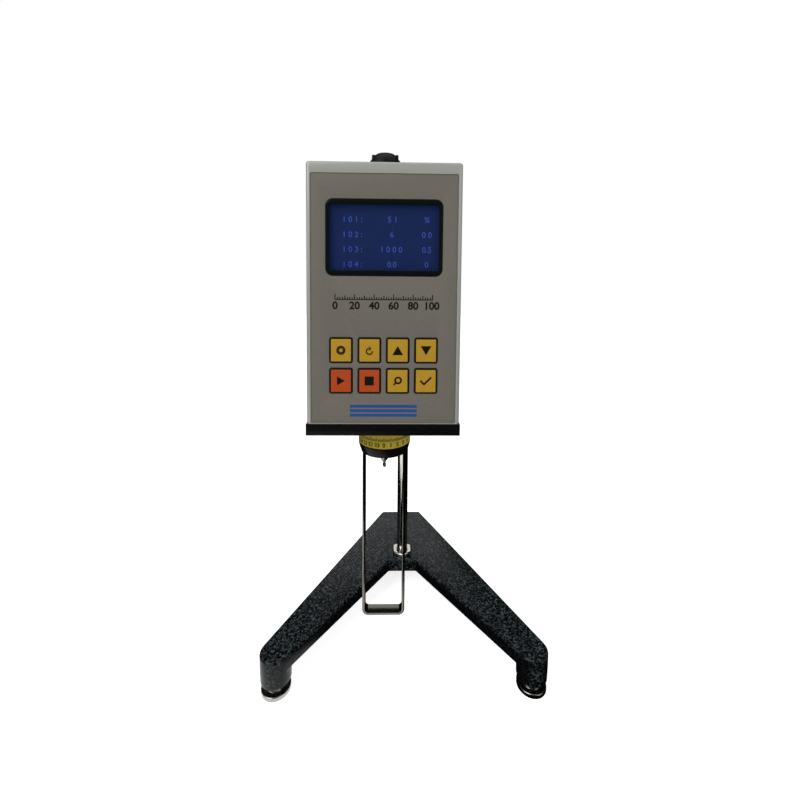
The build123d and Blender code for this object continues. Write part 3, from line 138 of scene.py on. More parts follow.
class ViscometerStudio(bpy.types.PropertyGroup):
    camera_place: FloatVectorProperty(
        name="Camera", description="Place of the camera",
        subtype="XYZ", unit="LENGTH", size=3, default=(-11.6 * MM, -405.0 * MM, 352.5 * MM))
    camera_yaw: FloatProperty(
        name="Yaw", description="How far the camera is turned to the left",
        default=radians(-1.15), subtype="ANGLE")
    camera_pitch: FloatProperty(
        name="Pitch", description="How far the camera looks down",
        default=radians(3.22), subtype="ANGLE")
    camera_roll: FloatProperty(
        name="Roll", description="How far the camera leans over",
        default=radians(0.5), subtype="ANGLE")
    camera_lens: FloatProperty(
        name="Lens", description="Focal length on a 36 mm sensor, in millimetres",
        default=18.0, min=8.0, max=200.0)
    camera_shift: FloatVectorProperty(
        name="Shift", description="Shift of the lens across and up, as a share of the picture",
        size=2, default=(-0.0026, -0.1181))
    sky_strength: FloatProperty(
        name="Room light", description="Strength of the even light from the room",
        default=0.42, min=0.0, max=2.0)


# Shader nodes and finishes


def add_node(tree, kind, values=None, links=None, stops=None, **settings):
    """Adds a node with its settings, input values, links as (node, output) and colour stops."""
    made = tree.nodes.new(kind)
    for name, value in settings.items():
        setattr(made, name, value)
    for name, value in (values or {}).items():
        made.inputs[name].default_value = value
    for name, (source, output) in (links or {}).items():
        tree.links.new(source.outputs[output], made.inputs[name])
    if stops:
        elements = made.color_ramp.elements
        while len(elements) < len(stops):
            elements.new(0.5)
        for element, (position, colour) in zip(elements, stops):
            element.position = position
            element.color = colour
    return made


def new_finish(name, colour, metallic=0.0, roughness=0.5, **sockets):
    """A new material: returns it, its tree and its surface shader, with constants on the sockets."""
    finish = bpy.data.materials.new(name)
    finish.use_nodes = True
    finish.diffuse_color = colour
    tree = finish.node_tree
    shader = tree.nodes["Principled BSDF"]
    shader.inputs["Base Color"].default_value = colour
    shader.inputs["Metallic"].default_value = metallic
    shader.inputs["Roughness"].default_value = roughness
    for name, value in sockets.items():
        shader.inputs[name.replace("_", " ")].default_value = value
    return finish, tree, shader


def tone(colour, factor):
    """The colour made lighter or darker by a factor."""
    return tuple(min(1.0, c * factor) for c in colour[:3]) + (1.0,)


def seen_or_mirrored(tree):
    """The light path, and a share that is 1 for rays from the camera and from mirrors."""
    path = add_node(tree, "ShaderNodeLightPath")
    seen = add_node(
        tree, "ShaderNodeMath", operation="MAXIMUM",
        links={0: (path, "Is Camera Ray"), 1: (path, "Is Glossy Ray")})
    return path, seen


def grain_on(tree, shader, colours, grain, roughness, depth=0.0, stretch=(1, 1, 1)):
    """Lets colour, roughness and height follow a noise with the given grain in metres."""
    coords = add_node(tree, "ShaderNodeTexCoord")
    placed = add_node(
        tree, "ShaderNodeMapping", values={"Scale": stretch}, links={"Vector": (coords, "Object")})
    noise = add_node(
        tree, "ShaderNodeTexNoise", values={"Scale": 1.0 / grain, "Detail": 3.0},
        links={"Vector": (placed, "Vector")})
    ramp = add_node(
        tree, "ShaderNodeValToRGB", links={"Fac": (noise, "Fac")},
        stops=[(NOISE_LOW, colours[0]), (NOISE_HIGH, colours[1])])
    tree.links.new(ramp.outputs["Color"], shader.inputs["Base Color"])
    gloss = add_node(
        tree, "ShaderNodeMapRange", links={"Value": (noise, "Fac")}, values={
            "From Min": NOISE_LOW, "From Max": NOISE_HIGH, "To Min": roughness[0], "To Max": roughness[1]})
    tree.links.new(gloss.outputs["Result"], shader.inputs["Roughness"])
    if depth:
        bump = add_node(
            tree, "ShaderNodeBump", values={"Strength": 1.0, "Distance": depth},
            links={"Height": (noise, "Fac")})
        tree.links.new(bump.outputs["Normal"], shader.inputs["Normal"])


def shade(given):
    """Linear colour of a hex code, or of a user's colour by its name and a factor."""
    if isinstance(given, str):
        return linear(given)
    name, factor = given
    return tone(tuple(getattr(bpy.context.scene.viscometer_colours, name)), factor)


def grained(key, name, colours, roughness, grain, depth=0.0, metallic=0.0, stretch=(1, 1, 1), **sockets):
    """A grained finish: colours and roughnesses are low, middle and high, grain and depth are in mm."""
    low, middle, high = (shade(given) for given in colours)
    FINISHES[key], tree, shader = new_finish(name, middle, metallic, roughness[1], **sockets)
    grain_on(tree, shader, (low, high), grain * MM, (roughness[0], roughness[2]), depth * MM, stretch)


def make_finishes():
    """All the finishes of the instrument."""
    make_hammer_enamel()
    make_metals()
    make_paints()
    make_prints()
    make_screen()
    make_inner_parts()


def make_hammer_enamel():
    # Cast iron in hammer enamel: black, with a mottle of grey-blue flecks about 1.7 mm apart that
    # comes and goes over 20 mm; painted shade hides the flecks on upright faces, and painted light keeps them
    # on faces that look up and on those that face the front.
    dark, fleck = shade(("enamel_dark", 1.0)), shade(("enamel_fleck", 1.0))
    FINISHES["hammer_enamel"], tree, shader = new_finish(
        "cast_iron_hammer_enamel", dark, 0.0, 0.26, Specular_IOR_Level=0.14)
    coords = add_node(tree, "ShaderNodeTexCoord")
    mottle = add_node(
        tree, "ShaderNodeTexNoise", values={"Scale": 1.0 / (1.7 * MM), "Detail": 1.5, "Distortion": 0.6},
        links={"Vector": (coords, "Object")})
    marks = add_node(
        tree, "ShaderNodeValToRGB", links={"Fac": (mottle, "Fac")},
        stops=[(0.47, (0, 0, 0, 1)), (0.55, (0.3, 0.3, 0.3, 1)), (0.68, (1, 1, 1, 1))])
    # Painted light and shade by the way a face points: the flecks show in full on faces that look up and
    # partly on faces to the front, and painted shade dims them on other upright faces.
    geometry = add_node(tree, "ShaderNodeNewGeometry")
    facing = add_node(tree, "ShaderNodeSeparateXYZ", links={"Vector": (geometry, "Normal")})
    painted_light_from_above = add_node(
        tree, "ShaderNodeMapRange", links={"Value": (facing, "Z")},
        values={"From Min": 0.2, "From Max": 0.9, "To Min": 0.12, "To Max": 1.0})
    painted_light_from_front = add_node(
        tree, "ShaderNodeMapRange", links={"Value": (facing, "Y")},
        values={"From Min": -0.8, "From Max": -0.97, "To Min": 0.0, "To Max": 0.7})
    painted_lit_faces = add_node(
        tree, "ShaderNodeMath", operation="MAXIMUM", links={0: (painted_light_from_above, "Result"), 1: (painted_light_from_front, "Result")})
    # The mottle, kept only where painted light falls on the face.
    flecks_in_painted_light = add_node(
        tree, "ShaderNodeMath", operation="MULTIPLY", links={0: (marks, "Color"), 1: (painted_lit_faces, "Value")})
    drift = add_node(
        tree, "ShaderNodeTexNoise", values={"Scale": 1.0 / (20 * MM), "Detail": 1.0},
        links={"Vector": (coords, "Object")})
    swell = add_node(
        tree, "ShaderNodeMapRange", links={"Value": (drift, "Fac")},
        values={"From Min": NOISE_LOW, "From Max": NOISE_HIGH, "To Min": 0.65, "To Max": 1.0})
    share = add_node(
        tree, "ShaderNodeMath", operation="MULTIPLY", links={0: (flecks_in_painted_light, "Value"), 1: (swell, "Result")})
    flecks = add_node(
        tree, "ShaderNodeMix", data_type="RGBA", values={6: dark, 7: fleck},
        links={"Factor": (share, "Value")})
    tree.links.new(flecks.outputs[2], shader.inputs["Base Color"])
    dimples = add_node(
        tree, "ShaderNodeBump", values={"Strength": 0.5, "Distance": 0.12 * MM},
        links={"Height": (mottle, "Fac")})
    tree.links.new(dimples.outputs["Normal"], shader.inputs["Normal"])


def make_metals():
    # Chromium plate on ground steel: near mirror, with faint marks of handling, drawn out in Z.
    grained(
        "chrome", "chrome_plated_steel", ("#bdb9b2", "#c9c6c0", "#d2cfca"), (0.08, 0.12, 0.16), 6.0,
        metallic=1.0, stretch=(4, 4, 0.5))
    # Turned steel, unplated: fine marks of the lathe, 0.35 mm long and a sixth of that high.
    grained(
        "turned_steel", "turned_steel", ("#98968f", "#a9a8a5", "#b8b7b2"), (0.16, 0.22, 0.3), 0.35, 0.004,
        metallic=1.0, stretch=(1, 1, 6))
    # Spring steel, blued: dark, with a soft change of tone.
    grained(
        "spring_steel", "blued_spring_steel", ("#4b5263", "#5b6270", "#6d7380"), (0.2, 0.25, 0.32), 1.2,
        metallic=1.0)
    # Stainless strip, brushed along its length: hair lines 0.3 mm wide and long in Z.
    grained(
        "brushed_stainless", "brushed_stainless_strip", ("#605e59", "#6e6c66", "#7c7973"),
        (0.12, 0.17, 0.22), 0.3, 0.003, metallic=1.0, stretch=(1, 1, 0.04))
    # Brass and bearing bronze, turned: warm, with a fine grain.
    grained(
        "brass", "turned_brass", ("#a8823d", "#b8924a", "#c6a159"), (0.18, 0.25, 0.32), 0.8, 0.003,
        metallic=1.0)
    # Milled and turned aluminium, bare: pale, with tool marks drawn out along Y.
    grained(
        "aluminium", "milled_aluminium", ("#a7a9ab", "#b9bbbd", "#c6c8ca"), (0.28, 0.35, 0.42), 0.5, 0.004,
        metallic=1.0, stretch=(1, 0.1, 1))
    # Anodised black ring and boss parts: dark, semi-gloss, with turning marks.
    grained(
        "black_anodised", "black_anodised_aluminium", ("#090909", "#0d0d0e", "#151516"),
        (0.2, 0.25, 0.34), 0.5, 0.003, metallic=0.3, stretch=(1, 1, 5), **DULL)


def make_paints():
    # Metallic paint on aluminium: fine flake under a satin lacquer.
    grained(
        "housing_paint", "metallic_paint_on_aluminium",
        [("housing_paint", factor) for factor in (0.9, 1.0, 1.08)], (0.32, 0.38, 0.44), 0.35, 0.004,
        metallic=0.12, Coat_Weight=0.2, Coat_Roughness=0.3)
    # The same paint, a shade darker, on the flat rear cover.
    grained(
        "cover_paint", "metallic_paint_on_cover",
        [("housing_paint", factor) for factor in (0.72, 0.8, 0.864)], (0.38, 0.45, 0.5), 0.4, 0.006,
        metallic=0.3)
    # Black satin stove enamel on the bottom plate: smooth, a faint sheen.
    grained(
        "plate_enamel", "black_satin_enamel", ("#080809", "#0b0b0c", "#111113"), (0.3, 0.35, 0.42),
        1.0, 0.004, **DULL)
    # Moulded black ABS with a fine spark-eroded grain of 0.3 mm.
    grained(
        "black_abs", "moulded_black_abs", ("#0f0f10", "#131314", "#1a1a1b"), (0.36, 0.42, 0.52),
        0.3, 0.012, **DULL)
    # Gloss black phenolic of the hand knobs: deep and smooth.
    grained(
        "black_phenolic", "polished_black_phenolic", ("#09090a", "#0c0c0d", "#121213"),
        (0.12, 0.16, 0.22), 3.0, **DULL)
    # Dark olive lacquer of the screen's frame.
    grained(
        "frame_lacquer", "black_lacquered_frame", ("#090d0c", "#0c1110", "#121816"),
        (0.18, 0.22, 0.28), 0.8, **DULL)


def make_prints():
    # Printed polyester film: warm grey, a soft speckle of about 0.5 mm and a satin face.
    grained(
        "overlay_film", "printed_polyester_film",
        [("overlay_print", factor) for factor in (0.94, 1.0, 1.06)], (0.46, 0.5, 0.56),
        0.5, 0.004, **DULL)
    # Black figures and lines printed on the film: flat, hardly any sheen.
    grained(
        "black_print", "black_screen_print", ("#100e0b", "#15130f", "#1c1915"), (0.46, 0.5, 0.56),
        0.4, **DULL)
    # Blue stripes in the same print.
    grained(
        "blue_print", "blue_screen_print", [("stripe_blue", factor) for factor in (0.9, 1.0, 1.1)],
        (0.46, 0.5, 0.56), 0.4, **DULL)
    # Keys and band: coloured print under a satin film.
    for key, name in (
        ("key_yellow", "yellow_key_film"), ("key_red", "red_key_film"), ("band_yellow", "yellow_band_film"),
    ):
        grained(
            key, name, [(key, factor) for factor in (0.93, 1.0, 1.05)], (0.38, 0.42, 0.48),
            0.6, 0.003, **DULL)


def make_screen():
    # Lit liquid crystal: blue, its dot grid of 0.55 mm just to be seen, with a little light of its own.
    blue = shade(("screen_blue", 1.0))
    FINISHES["screen_blue"], tree, shader = new_finish(
        "lit_liquid_crystal", blue, 0.0, 0.35, Emission_Color=blue, Emission_Strength=0.2,
        Specular_IOR_Level=0.05)
    coords = add_node(tree, "ShaderNodeTexCoord")
    upright = add_node(
        tree, "ShaderNodeMapping", values={"Rotation": (radians(90), 0, 0)},
        links={"Vector": (coords, "Object")})
    dot = 0.55
    grid = add_node(
        tree, "ShaderNodeTexBrick", offset=0.0, squash=1.0, links={"Vector": (upright, "Vector")},
        values={"Color1": tone(blue, 1.05), "Color2": tone(blue, 0.98), "Mortar": tone(blue, 0.8),
                "Scale": 1.0 / MM, "Mortar Size": 0.06, "Brick Width": dot, "Row Height": dot})
    tree.links.new(grid.outputs["Color"], shader.inputs["Base Color"])
    # Figures on it: a brighter blue that glows a little.
    grained(
        "screen_digit", "lit_screen_figure", [("screen_digit", factor) for factor in (0.75, 1.0, 1.1)],
        (0.3, 0.35, 0.4), 1.2, Emission_Color=shade(("screen_digit", 1.0)), Emission_Strength=0.2)
    # Window of cast acrylic, clear and polished: only its faint mirror image is seen.
    grained(
        "acrylic", "clear_cast_acrylic", ("#fafcfc", "#ffffff", "#ffffff"), (0.0, 0.0, 0.004), 12.0,
        Alpha=0.04, IOR=1.49, Transmission_Weight=1.0, Specular_IOR_Level=0.3)
    # Level vial: yellow-green spirit in acrylic.
    grained(
        "vial_spirit", "green_spirit_in_acrylic", ("#a9cc2e", "#b9d63a", "#c6e04e"), (0.03, 0.05, 0.08), 5.0,
        IOR=1.45, Transmission_Weight=0.55)


def make_inner_parts():
    # Solder mask over copper: green, with the tracks as a faint change of tone.
    FINISHES["board_green"], tree, shader = new_finish("green_solder_mask", linear("#14512c"), 0.0, 0.3)
    coords = add_node(tree, "ShaderNodeTexCoord")
    tracks = add_node(
        tree, "ShaderNodeTexVoronoi", distance="MANHATTAN", feature="F1", values={"Scale": 1.0 / (4 * MM)},
        links={"Vector": (coords, "Object")})
    mask = add_node(
        tree, "ShaderNodeValToRGB", links={"Fac": (tracks, "Distance")},
        stops=[(0.25, linear("#1c6a3a")), (0.3, linear("#114626"))])
    tree.links.new(mask.outputs["Color"], shader.inputs["Base Color"])
    # Moulded components on the boards: dark grey, finely grained.
    grained(
        "board_part", "moulded_board_component", ("#1b1b1d", "#232325", "#2b2b2e"), (0.45, 0.5, 0.6),
        0.4, 0.006, **DULL)
    # Motor can: black lacquer on laminated steel; sheets of 0.5 mm, drawn 1 mm thick so that they show.
    FINISHES["motor_black"], tree, shader = new_finish(
        "black_lacquered_laminations", linear("#17181a"), 0.2, 0.4)
    coords = add_node(tree, "ShaderNodeTexCoord")
    waves_per_unit = 3.2
    sheets = add_node(
        tree, "ShaderNodeTexWave", wave_type="BANDS", bands_direction="Z",
        values={"Scale": 1.0 / MM / waves_per_unit, "Distortion": 0.0},
        links={"Vector": (coords, "Object")})
    edges = add_node(
        tree, "ShaderNodeBump", values={"Strength": 0.5, "Distance": 0.05 * MM},
        links={"Height": (sheets, "Fac")})
    tree.links.new(edges.outputs["Normal"], shader.inputs["Normal"])


# Solids that are shown as they are, by their finish
PLAIN_NODES = {
    "brass": ("pinion_bush", "friction_shoe", "hub_bush", "motor_pinion", "drive_gear"),
    "turned_steel": ("lift_pinion", "lower_bearing", "hub_collar", "spindle_shaft"),
    "spring_steel": ("hairspring",),
    "aluminium": ("back_frame", "frame_pillars", "motor_plate"),
    "black_anodised": ("upper_disc", "lower_disc"),
    "acrylic": ("screen_window",),
    "screen_blue": ("screen_glass",),
    "board_green": ("screen_board", "keypad_board", "main_board", "power_board"),
    "board_part": ("phase_sensors",),
    "motor_black": ("motor",),
}


# Helpers for modelling


def pick(*pieces):
    """Selects only these objects, the last one active."""
    if bpy.context.mode != "OBJECT":
        bpy.ops.object.mode_set(mode="OBJECT")
    bpy.ops.object.select_all(action="DESELECT")
    for piece in pieces:
        piece.select_set(True)
    bpy.context.view_layer.objects.active = pieces[-1]
    return pieces[-1]


def added(name):
    """The object that an add operator has just made, under its own name and alone."""
    piece = bpy.context.object
    piece.name = piece.data.name = name
    return pick(piece)


def settle(piece):
    """Puts an object's place into its mesh, so that the object itself sits at the origin."""
    pick(piece)
    bpy.ops.object.transform_apply(location=True, rotation=True, scale=True)
    return piece


def modify(piece, kind, **settings):
    """Adds a modifier and applies it."""
    pick(piece)
    made = piece.modifiers.new(kind.lower(), kind)
    for name, value in settings.items():
        setattr(made, name, value)
    bpy.ops.object.modifier_apply(modifier=made.name)
    return piece


def solid_copy(node, name):
    """A copy of a solid's mesh with its doubles merged and its flat faces whole."""
    piece = bpy.data.objects.new(name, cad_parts[node].data.copy())
    bpy.context.scene.collection.objects.link(piece)
    piece.data.materials.clear()
    pick(piece)
    bpy.ops.object.mode_set(mode="EDIT")
    bpy.ops.mesh.select_all(action="SELECT")
    bpy.ops.mesh.remove_doubles(threshold=0.001 * MM)
    bpy.ops.mesh.dissolve_limited(angle_limit=radians(0.5), delimit={"NORMAL"})
    bpy.ops.object.mode_set(mode="OBJECT")
    return piece


def soften(piece, edge, segments=2, limit=32):
    """Rounds a piece's sharp edges."""
    return modify(
        piece, "BEVEL", width=edge, segments=segments, limit_method="ANGLE", angle_limit=radians(limit),
        harden_normals=False, use_clamp_overlap=True, miter_outer="MITER_ARC")


def finish_piece(piece, body, finish, replaced=(), smooth=35):
    """Shades a piece, gives it its finish unless it has its own, and fixes it to its body."""
    pick(piece)
    bpy.ops.object.shade_smooth_by_angle(angle=radians(smooth))
    if finish:
        piece.data.materials.append(FINISHES[finish])
    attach(piece, body)
    if replaced:
        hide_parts(*replaced)
    return piece


def dress(node, body, finish, edge, segments=2, limit=32, smooth=35):
    """A solid's own shape with its edges rounded, in place of the solid."""
    piece = soften(solid_copy(node, node + "_dressed"), edge, segments, limit)
    return finish_piece(piece, body, finish, [node], smooth)


def printed(text, height, place, name, bold=0.012):
    """Figures or a symbol as a thin print, centred on a place; it faces the front."""
    sizes = bpy.context.scene.viscometer_sizes
    bpy.ops.object.text_add()
    piece = added(name)
    piece.data.body = text
    piece.data.extrude = sizes.print_thick / 2
    piece.data.offset = bold
    bpy.ops.object.convert(target="MESH")
    piece = added(name)
    points = [vertex.co.copy() for vertex in piece.data.vertices]
    low = Vector([min(point[i] for point in points) for i in range(3)])
    high = Vector([max(point[i] for point in points) for i in range(3)])
    grow = height / (high.y - low.y)
    middle = (low + high) / 2
    flat = Matrix.Diagonal((grow, grow, 1, 1)) @ Matrix.Translation(-middle)
    stand = Matrix.Rotation(radians(90), 4, "X")
    piece.data.transform(Matrix.Translation(place) @ stand @ flat)
    return piece


def bar(width, height, place, name):
    """A thin printed bar that faces the front, with its corners taken off."""
    deep = bpy.context.scene.viscometer_sizes.print_thick
    bpy.ops.mesh.primitive_cube_add(size=1, location=place, scale=(width, deep, height))
    piece = settle(added(name))
    return modify(piece, "BEVEL", width=0.18 * min(width, height), segments=1, limit_method="ANGLE")


def joined(pieces, name):
    """Several meshes as one piece."""
    pick(*pieces)
    bpy.ops.object.join()
    return added(name)


def select_faces(piece, test):
    """In edit mode, selects the faces whose middle and normal pass a test."""
    pick(piece)
    bpy.ops.object.mode_set(mode="EDIT")
    bpy.ops.mesh.select_mode(type="FACE")
    bpy.ops.mesh.select_all(action="DESELECT")
    bpy.ops.object.mode_set(mode="OBJECT")
    for face in piece.data.polygons:
        face.select = bool(test(face.center, face.normal))
    bpy.ops.object.mode_set(mode="EDIT")


def floor_thick(node):
    """Thickness of a U-shaped strip's floor, read between its two bends."""
    low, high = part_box(node)
    middle_x = (low.x + high.x) / 2
    bend_height, half_floor = 6 * MM, 14 * MM
    floor = [
        vertex.co.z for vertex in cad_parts[node].data.vertices
        if vertex.co.z < low.z + bend_height and abs(vertex.co.x - middle_x) < half_floor]
    return max(floor) - low.z


def cut(piece, cutter):
    """Takes a cutter's shape out of a piece, and removes the cutter."""
    modify(piece, "BOOLEAN", operation="DIFFERENCE", object=cutter, solver="EXACT")
    bpy.data.objects.remove(cutter)
    return piece


def spread(piece, places, name):
    """Copies of a piece, each moved and turned by a matrix, joined into one piece."""
    copies = []
    for number, place in enumerate(places):
        copy = piece.copy()
        copy.data = piece.data.copy()
        copy.name = f"{name}_{number}"
        bpy.context.scene.collection.objects.link(copy)
        copy.data.transform(place)
        copies.append(copy)
    bpy.data.objects.remove(piece)
    return joined(copies, name)


# Operators, one for each piece or group of like pieces


class VISCO_OT_base(bpy.types.Operator):
    """Base casting with rounded edges in hammer enamel"""
    bl_idname = "viscometer.base"
    bl_label = "Base casting"
    bl_options = {"REGISTER", "UNDO"}

    def execute(self, context):
        sizes = context.scene.viscometer_sizes
        dress("base_casting", "stand", "hammer_enamel", sizes.casting_round, 3, 30, 40)
        return {"FINISHED"}


class VISCO_OT_feet(bpy.types.Operator):
    """Three levelling feet, turned and polished"""
    bl_idname = "viscometer.feet"
    bl_label = "Levelling feet"
    bl_options = {"REGISTER", "UNDO"}

    def execute(self, context):
        sizes = context.scene.viscometer_sizes
        for side in ("left", "right", "rear"):
            dress(f"foot_{side}", f"{side}_foot", "turned_steel", sizes.machined_round)
        return {"FINISHED"}


class VISCO_OT_column(bpy.types.Operator):
    """Column with its rack, its nuts and its cap"""
    bl_idname = "viscometer.column"
    bl_label = "Column"
    bl_options = {"REGISTER", "UNDO"}

    rack_edge = 0.08 * MM

    def execute(self, context):
        sizes = context.scene.viscometer_sizes
        dress("column", "stand", "chrome", self.rack_edge, 1)
        dress("column_nuts", "stand", "chrome", 2 * sizes.machined_round)
        dress("column_cap", "stand", "black_abs", sizes.moulded_round)
        return {"FINISHED"}


class VISCO_OT_lift(bpy.types.Operator):
    """Lift clamp with its hand knobs and thumb screws"""
    bl_idname = "viscometer.lift"
    bl_label = "Lift"
    bl_options = {"REGISTER", "UNDO"}

    def execute(self, context):
        sizes = context.scene.viscometer_sizes
        dress("lift_clamp", "lift", "black_anodised", 2 * sizes.machined_round)
        dress("lift_knob", "pinion", "black_phenolic", sizes.moulded_round, 3)
        dress("tension_screw", "tension", "black_phenolic", sizes.moulded_round)
        dress("rod_screw", "rod_lock", "black_phenolic", sizes.moulded_round)
        dress("handle_rod", "head", "chrome", sizes.machined_round)
        return {"FINISHED"}


class VISCO_OT_housing(bpy.types.Operator):
    """Head housing, bottom plate and rear cover with their screws"""
    bl_idname = "viscometer.housing"
    bl_label = "Housing"
    bl_options = {"REGISTER", "UNDO"}

    # How far the black pad for the level reaches down from the housing's highest point
    pad_height = 3.25 * MM
    # Button-head screws with a hexagon socket; heights are from the underside of the head
    head_radius, head_height, head_round = 2.8 * MM, 1.8 * MM, 0.5 * MM
    shank_radius, shank_length = 1.48 * MM, 8.0 * MM
    socket_radius, socket_floor, cutter_length = 1.3 * MM, 0.7 * MM, 1.6 * MM
    screw_count = 8

    def execute(self, context):
        sizes = context.scene.viscometer_sizes
        housing = dress("housing", "head", "housing_paint", sizes.moulded_round)
        housing.data.materials.append(FINISHES["black_abs"])
        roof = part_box("housing")[1].z - self.pad_height
        for face in housing.data.polygons:
            if face.center.z > roof:
                face.material_index = 1
        dress("bottom_plate", "head", "plate_enamel", sizes.moulded_round)
        dress("rear_cover", "head", "cover_paint", sizes.machined_round)
        piece = spread(self.screw(), self.screw_places(), "case_screws_socket_head")
        finish_piece(piece, "head", "turned_steel", ["case_screws"])
        return {"FINISHED"}

    def screw(self):
        """One screw at the origin, its head above and its shank below."""
        bpy.ops.mesh.primitive_cylinder_add(
            vertices=24, radius=self.head_radius, depth=self.head_height,
            location=(0, 0, self.head_height / 2))
        screw = settle(added("case_screw"))
        select_faces(screw, lambda middle, normal: normal.z < -0.9)
        bpy.ops.mesh.extrude_region_move(TRANSFORM_OT_translate={"value": (0, 0, 0)})
        narrower = self.shank_radius / self.head_radius
        bpy.ops.transform.resize(value=(narrower, narrower, 1))
        bpy.ops.mesh.extrude_region_move(TRANSFORM_OT_translate={"value": (0, 0, -self.shank_length)})
        bpy.ops.object.mode_set(mode="OBJECT")
        modify(
            screw, "BEVEL", width=self.head_round, segments=3, limit_method="ANGLE",
            angle_limit=radians(60))
        bpy.ops.mesh.primitive_cylinder_add(
            vertices=6, radius=self.socket_radius, depth=self.cutter_length,
            location=(0, 0, self.socket_floor + self.cutter_length / 2))
        return cut(screw, settle(added("socket_cutter")))

    def screw_places(self):
        """Place and turn of each screw, from the heads of the solids below and behind."""
        low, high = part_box("case_screws")
        middle = (low + high) / 2
        near = 0.3 * MM
        heads = {}
        for point in (vertex.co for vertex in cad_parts["case_screws"].data.vertices):
            if point.z < low.z + near:
                heads.setdefault(("down", point.x > middle.x, point.y > middle.y), []).append(point)
            if point.y > high.y - near:
                heads.setdefault(("back", point.x > middle.x, point.z > middle.z), []).append(point)
        if len(heads) != self.screw_count:
            raise RuntimeError(f"expected {self.screw_count} case screws, found {len(heads)}")
        places = []
        for (way, _, _), points in heads.items():
            centre = Vector([
                (min(point[i] for point in points) + max(point[i] for point in points)) / 2
                for i in range(3)])
            if way == "down":
                centre.z = low.z + self.head_height
                turn = Matrix.Rotation(pi, 4, "X")
            else:
                centre.y = high.y - self.head_height
                turn = Matrix.Rotation(radians(-90), 4, "X")
            places.append(Matrix.Translation(centre) @ turn)
        return places


class VISCO_OT_panel(bpy.types.Operator):
    """Front overlay with its number scale and plain stripes"""
    bl_idname = "viscometer.panel"
    bl_label = "Front panel"
    bl_options = {"REGISTER", "UNDO"}

    overlay_edge = 0.3 * MM
    # The scale: the middle of its figures and its line are given from scale_z
    scale_z, figure_rise, line_rise = 336.2 * MM, 0.9 * MM, 4.9 * MM
    divisions, full_scale = 40, 100
    line_width, figure_height, figure_bold = 0.65 * MM, 5.4 * MM, 0.03
    # Height of every eighth tick, every fourth and the others
    long_tick, middle_tick, short_tick = 3.6 * MM, 2.7 * MM, 1.7 * MM
    stripe_count, stripe_z, stripe_pitch = 3, 261.6 * MM, 3.1 * MM
    stripe_width, stripe_height = 46.0 * MM, 2.1 * MM

    def execute(self, context):
        sizes = context.scene.viscometer_sizes
        dress("panel_overlay", "head", "overlay_film", self.overlay_edge)
        low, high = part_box("panel_overlay")
        middle_x = (low.x + high.x) / 2
        face = low.y - sizes.print_thick / 2
        line_z = self.scale_z + self.line_rise
        figures = []
        for step in range(self.divisions + 1):
            x = middle_x + sizes.scale_width * (step / self.divisions - 0.5)
            tall = self.long_tick if step % 8 == 0 else self.middle_tick if step % 4 == 0 else self.short_tick
            figures.append(bar(self.line_width, tall, (x, face, line_z + tall / 2), f"tick_{step}"))
            if step % 8 == 0:
                number = str(step * self.full_scale // self.divisions)
                place = (x, face, self.scale_z + self.figure_rise)
                figures.append(printed(number, self.figure_height, place, f"figure_{step}", self.figure_bold))
        line_length = sizes.scale_width + self.line_width
        figures.append(bar(line_length, self.line_width, (middle_x, face, line_z), "scale_line"))
        finish_piece(joined(figures, "panel_number_scale"), "head", "black_print")
        stripes = []
        for row in range(self.stripe_count):
            place = (middle_x, face, self.stripe_z + row * self.stripe_pitch)
            stripes.append(bar(self.stripe_width, self.stripe_height, place, f"stripe_{row}"))
        finish_piece(joined(stripes, "panel_blue_stripes"), "head", "blue_print")
        return {"FINISHED"}


class VISCO_OT_screen(bpy.types.Operator):
    """Screen frame and the figures on the lit screen"""
    bl_idname = "viscometer.screen"
    bl_label = "Screen"
    bl_options = {"REGISTER", "UNDO"}

    frame_edge = 0.35 * MM
    rows = (
        ("1 0 1 :", "5 1", "%"),
        ("1 0 2 :", "6", "0 0"),
        ("1 0 3 :", "1 0 0 0", "0.5"),
        ("1 0 4 :", "0.0", "0"),
    )
    figure_height, gap = 3.9 * MM, 0.005 * MM
    # First row above the screen's middle; columns from its left and right edges
    first_row, row_pitch = 12.6 * MM, 10.1 * MM
    left_column, value_column, last_column = 16.0 * MM, 42.5 * MM, 8.5 * MM

    def execute(self, context):
        sizes = context.scene.viscometer_sizes
        dress("screen_frame", "head", "frame_lacquer", self.frame_edge)
        low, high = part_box("screen_glass")
        face = low.y - sizes.print_thick / 2 - self.gap
        columns = (
            ("left", low.x + self.left_column),
            ("value", low.x + self.value_column),
            ("last", high.x - self.last_column),
        )
        figures = []
        for row, texts in enumerate(self.rows):
            z = (low.z + high.z) / 2 + self.first_row - row * self.row_pitch
            for text, (column, x) in zip(texts, columns):
                figures.append(printed(text, self.figure_height, (x, face, z), f"row_{row}_{column}"))
        finish_piece(joined(figures, "screen_figures"), "head", "screen_digit")
        return {"FINISHED"}


